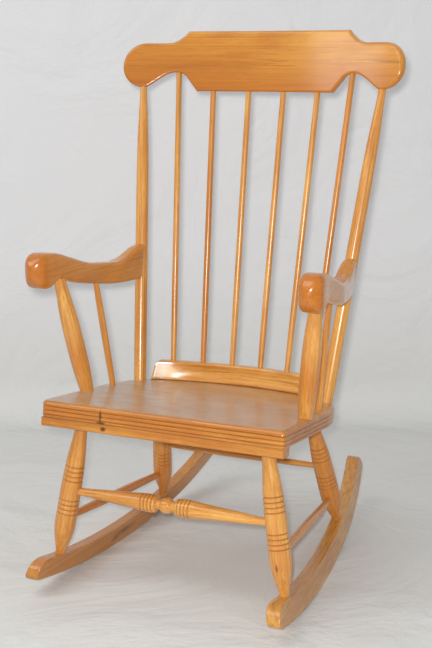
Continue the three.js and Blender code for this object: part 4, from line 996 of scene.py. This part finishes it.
# %% Outline of a rocker
ROCKER_RADIUS, TAIL_RADIUS, CONTACT, TAIL_START = 1300, 650, 261, 470
ROCKER_FRONT, ROCKER_BACK, ROCKER_HEIGHT = 54, 692, 41
TAIL_TURN = math.asin((TAIL_START - CONTACT) / ROCKER_RADIUS)
TAIL_CENTRE = (
    TAIL_START - TAIL_RADIUS * math.sin(TAIL_TURN),
    ROCKER_RADIUS - (ROCKER_RADIUS - TAIL_RADIUS) * math.cos(TAIL_TURN),
)
# How far each corner's round reaches up or down the end, and along the edge.
NOSE_LOW, NOSE_HIGH, TAIL_LOW, TAIL_HIGH = (10, 14), (30, 46), (12, 14), (27, 34)


def rocker_edge(inset):
    """One long edge of the rocker, from its nose to its tail."""
    nose_turn = math.asin((CONTACT + ROCKER_FRONT) / ROCKER_RADIUS)
    end_turn = math.asin((ROCKER_BACK - TAIL_CENTRE[0]) / TAIL_RADIUS)
    down = math.pi / 2
    main = arc((CONTACT, ROCKER_RADIUS), ROCKER_RADIUS - inset, -nose_turn - down, TAIL_TURN - down, 44)
    return main + arc(TAIL_CENTRE, TAIL_RADIUS - inset, TAIL_TURN - down, end_turn - down, 20)[1:]


def trimmed(edge, nose_reach, tail_reach):
    """An edge without the points that the rounds at its two corners take away."""
    nose, tail = Vector(edge[0]), Vector(edge[-1])
    behind_nose = [point for point in edge if (Vector(point) - nose).length > nose_reach + 1]
    return [point for point in behind_nose if (Vector(point) - tail).length > tail_reach + 1]


def rounded(before, corner, after, reach_before, reach_after):
    """A corner of the outline, rounded from its reach before it to its reach after it."""
    before, corner, after = Vector(before), Vector(corner), Vector(after)
    start = corner.lerp(before, reach_before / (before - corner).length)
    end = corner.lerp(after, reach_after / (after - corner).length)
    return bezier([start, corner, end], 10)


def rocker_outline():
    """The rocker from the side: along its underside to the tail, and back along its top."""
    runner, top = rocker_edge(0), rocker_edge(ROCKER_HEIGHT)
    under = trimmed(runner, NOSE_LOW[1], TAIL_LOW[1])
    over = trimmed(top, NOSE_HIGH[1], TAIL_HIGH[1])
    line = rounded(top[0], runner[0], under[0], *NOSE_LOW) + under
    line += rounded(under[-1], runner[-1], top[-1], *TAIL_LOW[::-1])
    line += rounded(runner[-1], top[-1], over[-1], *TAIL_HIGH) + over[::-1]
    return line + rounded(over[0], top[0], runner[0], *NOSE_HIGH[::-1])


print("A rocker's outline has", len(rocker_outline()), "points")

# %% [markdown]
# The outline is filled and thickened and its rims are eased. The rocker has to pass through the feet of its
# two legs, which don't stand equally far out, and it leans in. One slanting matrix does both, and the left
# rocker takes the same slant to the other side.

# %% Rockers
ROCKER_THICKNESS, ROCKER_OFFSET, ROCKER_EASE, ROCKER_LEAN = 28, 2, 3, math.radians(12)
front, rear = (leg[0] - SEAT_FOOT for leg in (front_leg, rear_leg))
lean = -math.tan(ROCKER_LEAN)
slope = (rear.x - front.x - lean * (rear.z - front.z)) / (rear.y - front.y)
shift = front.x + ROCKER_OFFSET * MM - slope * front.y - lean * front.z

for side, sign, tone in (("right", 1, 0.1), ("left", -1, 0.6)):
    outline = [mm(-ROCKER_THICKNESS / 2, back, up) for back, up in rocker_outline()]
    rocker = draw_board(f"varnished_rocker_{side}", outline, SIDEWAYS, ROCKER_THICKNESS)
    ease_rims(rocker, SIDEWAYS, ROCKER_EASE, 4)
    mark_timber(rocker, in_plank("Y", f"rocker_{side}"))
    slant = Matrix.Identity(4)
    slant[0][1], slant[0][2], slant[0][3] = sign * slope, sign * lean, sign * shift
    rocker.data.transform(Matrix.Translation(SEAT_FOOT) @ slant)
    finish_piece(rocker, f"rocker_{side}", "runner_varnished_wood", tone=tone, flat_faces=True)

# %% [markdown]
# The arms are sawn from thick stock: a round scroll at the front, a dip for the forearm, and a deep rear
# end against the back post. The scroll is an arc, and the rest are smooth curves through a few shares.
# Where the arm ends is worked out from the post, which it is let into a little.

# %% Outline of an arm from the side
SCROLL, SCROLL_RADIUS = (59, SEAT_FRONT_HEIGHT + 240), 35.2
SCROLL_TIP, SCROLL_FOOT = 0.96 * math.pi, math.radians(-52)
ARM_WAIST, ARM_WAIST_DEPTH = (302, SEAT_FRONT_HEIGHT + 221.5), 46
ARM_NOTCH = (97, SEAT_FRONT_HEIGHT + 219.5)
ARM_REAR_TOP, ARM_REAR_DEPTH, ARM_LET_IN = SEAT_FRONT_HEIGHT + 245.5, 74, 7.01
HOOK_SHARES = [(0, 1), (0.25, 0.62), (0.55, 0.32), (0.86, 0.07), (1, 0)]
DIP_SHARES = [(0, 1), (0.14, 0.91), (0.32, 0.65), (0.64, 0.21), (1, 0)]
REAR_FOOT_SHARES, REAR_TOP_SHARES = [(0, 0), (0.4, 0.7), (1, 1)], [(0, 0), (0.35, 0.2), (0.75, 0.84), (1, 1)]

post_foot, post_head = ((end - SEAT_FOOT) / MM for end in post)
arm_rear_middle = ARM_REAR_TOP - ARM_REAR_DEPTH / 2
arm_meets = post_foot.lerp(post_head, (arm_rear_middle - post_foot.z) / (post_head.z - post_foot.z))
post_radius = height_at(post_profile, (arm_meets - post_foot).length)
ARM_BACK = arm_meets.y - post_radius + ARM_LET_IN
ARM_TIP = SCROLL[0] - SCROLL_RADIUS


def arm_outline():
    """The arm from the side, from the flat tip under the scroll and round to the tip again."""
    crown, waist_foot = SCROLL[1] + SCROLL_RADIUS, (ARM_WAIST[0], ARM_WAIST[1] - ARM_WAIST_DEPTH)
    hook = spread((ARM_NOTCH[0], waist_foot[1]), (waist_foot[0], ARM_NOTCH[1]), HOOK_SHARES)
    rear_foot = spread(waist_foot, (ARM_BACK, ARM_REAR_TOP - ARM_REAR_DEPTH), REAR_FOOT_SHARES)
    lower = arc(SCROLL, SCROLL_RADIUS, -SCROLL_TIP, SCROLL_FOOT, 22)
    lower += smooth(hook, 6) + smooth(rear_foot, 5)[1:]
    dip = spread((SCROLL[0], ARM_WAIST[1]), (ARM_WAIST[0], crown), DIP_SHARES)
    rear_top = spread(ARM_WAIST, (ARM_BACK, ARM_REAR_TOP), REAR_TOP_SHARES)
    upper = arc(SCROLL, SCROLL_RADIUS, SCROLL_TIP, math.pi / 2, 14)[:-1]
    upper += smooth(dip, 6) + smooth(rear_top, 5)[1:]
    return lower + upper[::-1]


print("An arm runs from", round(ARM_TIP, 1), "to", round(ARM_BACK, 1), "mm behind the seat's front edge")

# %% [markdown]
# From above, an arm is wide at the scroll and narrow at the rear, in a long curve, with a rounded tip. So
# the rough arm is cut across, and each cut is moved to its place between two plan curves. Towards its sides
# the scroll falls away a little, as a rasp leaves it, and the rear end leans back with the post.

# %% The arm from above
ARM_FRONT_OUT, ARM_FRONT_HALF, ARM_REAR_OUT, ARM_REAR_HALF = 27.5, 22, 2.2, 13.5
ARM_ROUGH_WIDTH, ARM_EASE, ARM_TIP_ROUND = 60, 10, 19
SCROLL_FALL, SCROLL_FALL_REACH = 6, 85
OUTER_SHARES = [
    (0, 0), (0.1, 0.015), (0.24, 0.11), (0.47, 0.21),
    (0.6, 0.44), (0.735, 0.635), (0.867, 0.825), (1, 1),
]
INNER_SHARES = [(0, 0), (0.24, 0.19), (0.47, 0.33), (0.6, 0.46), (0.735, 0.75), (0.867, 0.92), (1, 1)]


def arm_face(sign, shares):
    """One face of the right arm in plan, from its tip to its rear end."""
    front = SEAT_WIDTH / 2 + ARM_FRONT_OUT + sign * ARM_FRONT_HALF
    rear = arm_meets.x + ARM_REAR_OUT + sign * ARM_REAR_HALF
    return smooth(spread((ARM_TIP, front), (ARM_BACK, rear), shares), 5)


arm_outer, arm_inner = arm_face(1, OUTER_SHARES), arm_face(-1, INNER_SHARES)
post_lean = (post_head.y - post_foot.y) / (post_head.z - post_foot.z)


def shape_arm(point, sign):
    """Moves a point of the rough arm to its place on the chair, as seen from the seat's foot."""
    x, back, up = point / MM
    outer, inner = height_at(arm_outer, back), height_at(arm_inner, back)
    short = max(0, ARM_TIP_ROUND - (back - ARM_TIP))
    half = (outer - inner) / 2 - ARM_TIP_ROUND + math.sqrt(max(0, ARM_TIP_ROUND**2 - short**2))
    rough = ARM_ROUGH_WIDTH / 2
    edge = rough - abs(x)
    if edge < ARM_EASE:
        across = math.copysign(max(0, half - edge), x)
    else:
        across = x / (rough - ARM_EASE) * (half - ARM_EASE)
    nearness = ramp(back, ARM_TIP + SCROLL_FALL_REACH, ARM_TIP)
    fall = SCROLL_FALL * nearness * (across / half) ** 4 if half else 0
    toward = 1 - fall / SCROLL_RADIUS
    lean = ramp(back, ARM_WAIST[0], ARM_BACK) ** 2 * post_lean
    back, up = SCROLL[0] + toward * (back - SCROLL[0]), SCROLL[1] + toward * (up - SCROLL[1])
    return mm(sign * ((outer + inner) / 2 + across), back + lean * (up - arm_meets.z), up)


widths = [round(height_at(arm_outer, back) - height_at(arm_inner, back), 1) for back in (60, 180, 300)]
print("An arm is", widths, "mm wide at its scroll, its middle and its waist")

# %% [markdown]
# The arm's side outline is thickened and eased first. Then it is cut across and lengthwise, and shaped. The
# left arm's points are moved to the other side, which turns its faces inwards, so they are turned out
# again. The front of each scroll is darker, as hands make it.

# %% Arms
ARM_TONE, SCROLL_TONE, SCROLL_DARK_TO, SCROLL_DARK_FADE = 0.5, 1.0, 20, 20
ARM_CUTS, ARM_LONG_CUTS = range(26, int(ARM_BACK), 6), (-15, 0, 15)


def arm_tone(point):
    """The front of the scroll is dark, and the rest of the arm is in the middle of the tones."""
    behind_tip = (point - SEAT_FOOT).y / MM - ARM_TIP
    dark = ramp(behind_tip, SCROLL_DARK_TO + SCROLL_DARK_FADE, SCROLL_DARK_TO)
    return ARM_TONE + (SCROLL_TONE - ARM_TONE) * dark


for side, sign in (("right", 1), ("left", -1)):
    outline = [mm(-ARM_ROUGH_WIDTH / 2, back, up) for back, up in arm_outline()]
    arm = draw_board(f"varnished_arm_{side}", outline, SIDEWAYS, ARM_ROUGH_WIDTH)
    ease_rims(arm, SIDEWAYS, ARM_EASE, 6)
    cut_across(BACKWARDS, ARM_CUTS)
    cut_across(SIDEWAYS, ARM_LONG_CUTS)
    mark_timber(arm, in_plank("Y", f"arm_{side}"))
    for vertex in arm.data.vertices:
        vertex.co = SEAT_FOOT + shape_arm(vertex.co, sign)
    bpy.ops.object.mode_set(mode="EDIT")
    turn_faces_out()
    bpy.ops.object.mode_set(mode="OBJECT")
    mark_share(arm, "tone", arm_tone)
    finish_piece(arm, f"arm_{side}", "russet_varnished_wood", angle=35)

# %% [markdown]
# Under each arm stand a stout turned post at the front and a thin spindle behind it. Both lean out with the
# arm. Each post has a redder patch below its middle.

# %% Arm posts and arm spindles
ARM_POST_ENDS, ARM_POST_BELLY, ARM_POST_TENON = (28.5, 24), 36.5, 22
ARM_POST_SHARES = [
    (0, 0), (0.1, 0.5), (0.24, 0.9), (0.4, 1),
    (0.56, 0.98), (0.72, 0.77), (0.86, 0.34), (1, 0),
]
ARM_SPINDLE_ENDS, ARM_SPINDLE_BELLY, ARM_SPINDLE_TENON = (12.5, 12), 14.3, 16
PATCH_AT, PATCH_REACH, PATCH_TONE, ARM_POST_TONE = 0.34, 0.16, 0.6, 0.12


def arm_post_tone(share):
    """A redder patch on the post, strongest in its middle."""
    return ARM_POST_TONE + PATCH_TONE * math.exp(-(((share - PATCH_AT) / PATCH_REACH) ** 2))


foot, head = spot(235, 153.67, 370.77), spot(266.83, 111, 605.66)
profile = swelling(length_of(foot, head), ARM_POST_ENDS, ARM_POST_BELLY, ARM_POST_SHARES)
turn_pair("arm_post", profile, foot, head, ARM_POST_ENDS, ARM_POST_TENON, (arm_post_tone, arm_post_tone))

foot, head = spot(228, 250.84, 357.98), spot(252.13, 232, 576.55)
profile = swelling(length_of(foot, head), ARM_SPINDLE_ENDS, ARM_SPINDLE_BELLY, PLAIN_SHARES)
ends, tenon, tones = ARM_SPINDLE_ENDS, ARM_SPINDLE_TENON, (0.45, 0.3)
turn_pair("arm_spindle", profile, foot, head, ends, tenon, tones, steps=THIN_SPIN_STEPS)

# %% [markdown]
# The chair stands on a pale cloth that sweeps up behind it into a wall. The cloth is matt, with soft folds,
# a little greyer near the floor and paler far away. A wall would hide the chair from behind, so its rear
# side lets everything through.

# %% Pale cloth
CLOTH_LOW, CLOTH_HIGH, CLOTH_FAR = (0.66, 0.66, 0.635, 1), (0.74, 0.74, 0.745, 1), (0.9, 0.9, 0.9)
CLOTH_HIGH_FROM, FAR_STARTS, FAR_FULL, CLOTH_ROUGHNESS = 0.5, 2.5, 7, 0.9
FOLDS, FOLD_STRENGTH, FOLD_DEPTH = {"Scale": 2.6, "Detail": 5, "Distortion": 1.6}, 0.5, 0.035


def pale_cloth(name):
    """Matt cloth with soft folds, which can't be seen from behind."""
    material, tree = new_tree(name)
    place = add_node(tree, "ShaderNodeTexCoord", {}).outputs["Object"]
    height = add_node(tree, "ShaderNodeSeparateXYZ", {"Vector": place}).outputs["Z"]
    near = add_node(tree, "ShaderNodeValToRGB", {"Fac": height})
    for stop, up, shade in zip(near.color_ramp.elements, (0, CLOTH_HIGH_FROM), (CLOTH_LOW, CLOTH_HIGH)):
        stop.position, stop.color = up, shade
    distance = add_node(tree, "ShaderNodeVectorMath", {0: place}, operation="LENGTH").outputs["Value"]
    far = between(tree, distance, FAR_STARTS, FAR_FULL)
    colour = tinted(tree, near.outputs["Color"], far, CLOTH_FAR)
    folds = add_node(tree, "ShaderNodeTexNoise", {"Vector": place, **FOLDS}).outputs["Fac"]
    bumps = {"Strength": FOLD_STRENGTH, "Distance": FOLD_DEPTH, "Height": folds}
    shader = add_node(tree, "ShaderNodeBsdfPrincipled", {
        "Base Color": colour,
        "Roughness": CLOTH_ROUGHNESS,
        "Normal": add_node(tree, "ShaderNodeBump", bumps).outputs["Normal"],
    })
    from_behind = add_node(tree, "ShaderNodeNewGeometry", {}).outputs["Backfacing"]
    clear = add_node(tree, "ShaderNodeBsdfTransparent", {}).outputs["BSDF"]
    sides = {0: from_behind, 1: shader.outputs["BSDF"], 2: clear}
    surface = add_node(tree, "ShaderNodeMixShader", sides).outputs["Shader"]
    add_node(tree, "ShaderNodeOutputMaterial", {"Surface": surface})
    return material


cloth = pale_cloth("pale cloth")
print("Cloth with", len(cloth.node_tree.nodes), "nodes")

# %% [markdown]
# The sheet is one line, extruded sideways: along the floor, round a soft bend and up. It stands square to
# the camera, which looks from the chair's right. A wide plain floor lies under it, for views from other
# sides. Both are staging, and no part of the chair.

# %% Wall and floor
CAMERA_TURN = math.radians(23.40)
WALL_LINE, SWEEP_BEND, HALF_WALL, SWEEP_START, WALL_TOP = 0.95, 0.12, 9, -4.5, 4
FLOOR_SIZE, UNDER_CLOTH = 90, 0.002
away = Vector((-math.sin(CAMERA_TURN), math.cos(CAMERA_TURN), 0))
rightwards = Vector((away.y, -away.x, 0))

bend_middle = (WALL_LINE - SWEEP_BEND, SWEEP_BEND)
sweep = [(SWEEP_START, 0), *arc(bend_middle, SWEEP_BEND, -math.pi / 2, 0, 10), (WALL_LINE, WALL_TOP)]
left_edge = [away * reach + UPWARDS * up - rightwards * HALF_WALL for reach, up in sweep]
backdrop = draw_line("pale_backdrop", left_edge)
extrude_by(rightwards * 2 * HALF_WALL)
bpy.ops.object.mode_set(mode="OBJECT")
# The order of the faces differs from run to run, so all of them say which way the sheet faces.
if sum(face.area * face.normal.dot(UPWARDS - away) for face in backdrop.data.polygons) < 0:
    backdrop.data.flip_normals()
bpy.ops.object.shade_smooth()
backdrop.data.materials.append(cloth)

start_clean()
bpy.ops.mesh.primitive_plane_add(size=FLOOR_SIZE, location=(0, 0, -UNDER_CLOTH))
floor = bpy.context.object
floor.name = "pale_floor"
floor.data.materials.append(cloth)
print("Wall", WALL_LINE, "m behind the chair's middle")

# %% [markdown]
# The light is soft and plain: a pale world all round, a broad lamp above on the left, a smaller one at the
# left side, and a very small one beside the camera, which gives the varnish its narrow highlights and a
# faint shadow on the wall. The world is a little dimmer where the camera sees it than it shines on the
# chair.

# %% Lamps and world
LAMPS = [
    # name, place, what it points at, size and power
    ("broad lamp", (-1.3, -2.0, 4.2), (0, 0, 0.5), 2.6, 40),
    ("side lamp", (-1.9, -1.6, 2.2), (0, 0, 0.7), 1.0, 9),
    ("lamp by the camera", (0.89, -2.18, 1.075), (0, 0, 0.55), 0.06, 34),
]
ROOM_COLOUR, ROOM_LIGHT, ROOM_SEEN = (0.97, 0.98, 1, 1), 0.47, 0.44

for name, place, target, size, power in LAMPS:
    start_clean()
    bpy.ops.object.light_add(type="AREA", location=place)
    lamp = bpy.context.object
    lamp.name = name
    lamp.rotation_euler = (Vector(target) - Vector(place)).to_track_quat("-Z", "Y").to_euler()
    lamp.data.shape = "DISK"
    lamp.data.size, lamp.data.energy = size, power

world = bpy.data.worlds.new("pale room")
bpy.context.scene.world = world
world.use_nodes = True
room = world.node_tree.nodes["Background"]
room.inputs["Color"].default_value = ROOM_COLOUR
seen = add_node(world.node_tree, "ShaderNodeLightPath", {}).outputs["Is Camera Ray"]
strength = between(world.node_tree, seen, 0, 1, ROOM_LIGHT, ROOM_SEEN)
world.node_tree.links.new(strength, room.inputs["Strength"])
print(len(LAMPS), "lamps, and a world of strength", ROOM_LIGHT)

# %% [markdown]
# The camera stands where the photographer stood: to the chair's right, above the arms, looking a little
# down. Its lens is worked out from the picture's height, so that the frame is filled in the same way.

# %% Camera
PICTURE_HEIGHT, FOCAL_PIXELS = 648, 1170
CAMERA_PLACE, CAMERA_TILT = (0.91827, -2.16757, 1.032625), math.radians(77.16)
NEAREST_SEEN, FARTHEST_SEEN = 0.05, 50

start_clean()
bpy.ops.object.camera_add(location=CAMERA_PLACE, rotation=(CAMERA_TILT, 0, CAMERA_TURN))
camera = bpy.context.object
camera.data.sensor_fit = "VERTICAL"
camera.data.lens = FOCAL_PIXELS / PICTURE_HEIGHT * camera.data.sensor_height
camera.data.clip_start, camera.data.clip_end = NEAREST_SEEN, FARTHEST_SEEN
bpy.context.scene.camera = camera
bpy.context.scene.view_settings.view_transform = "Standard"
print("Lens", round(camera.data.lens, 2), "mm")
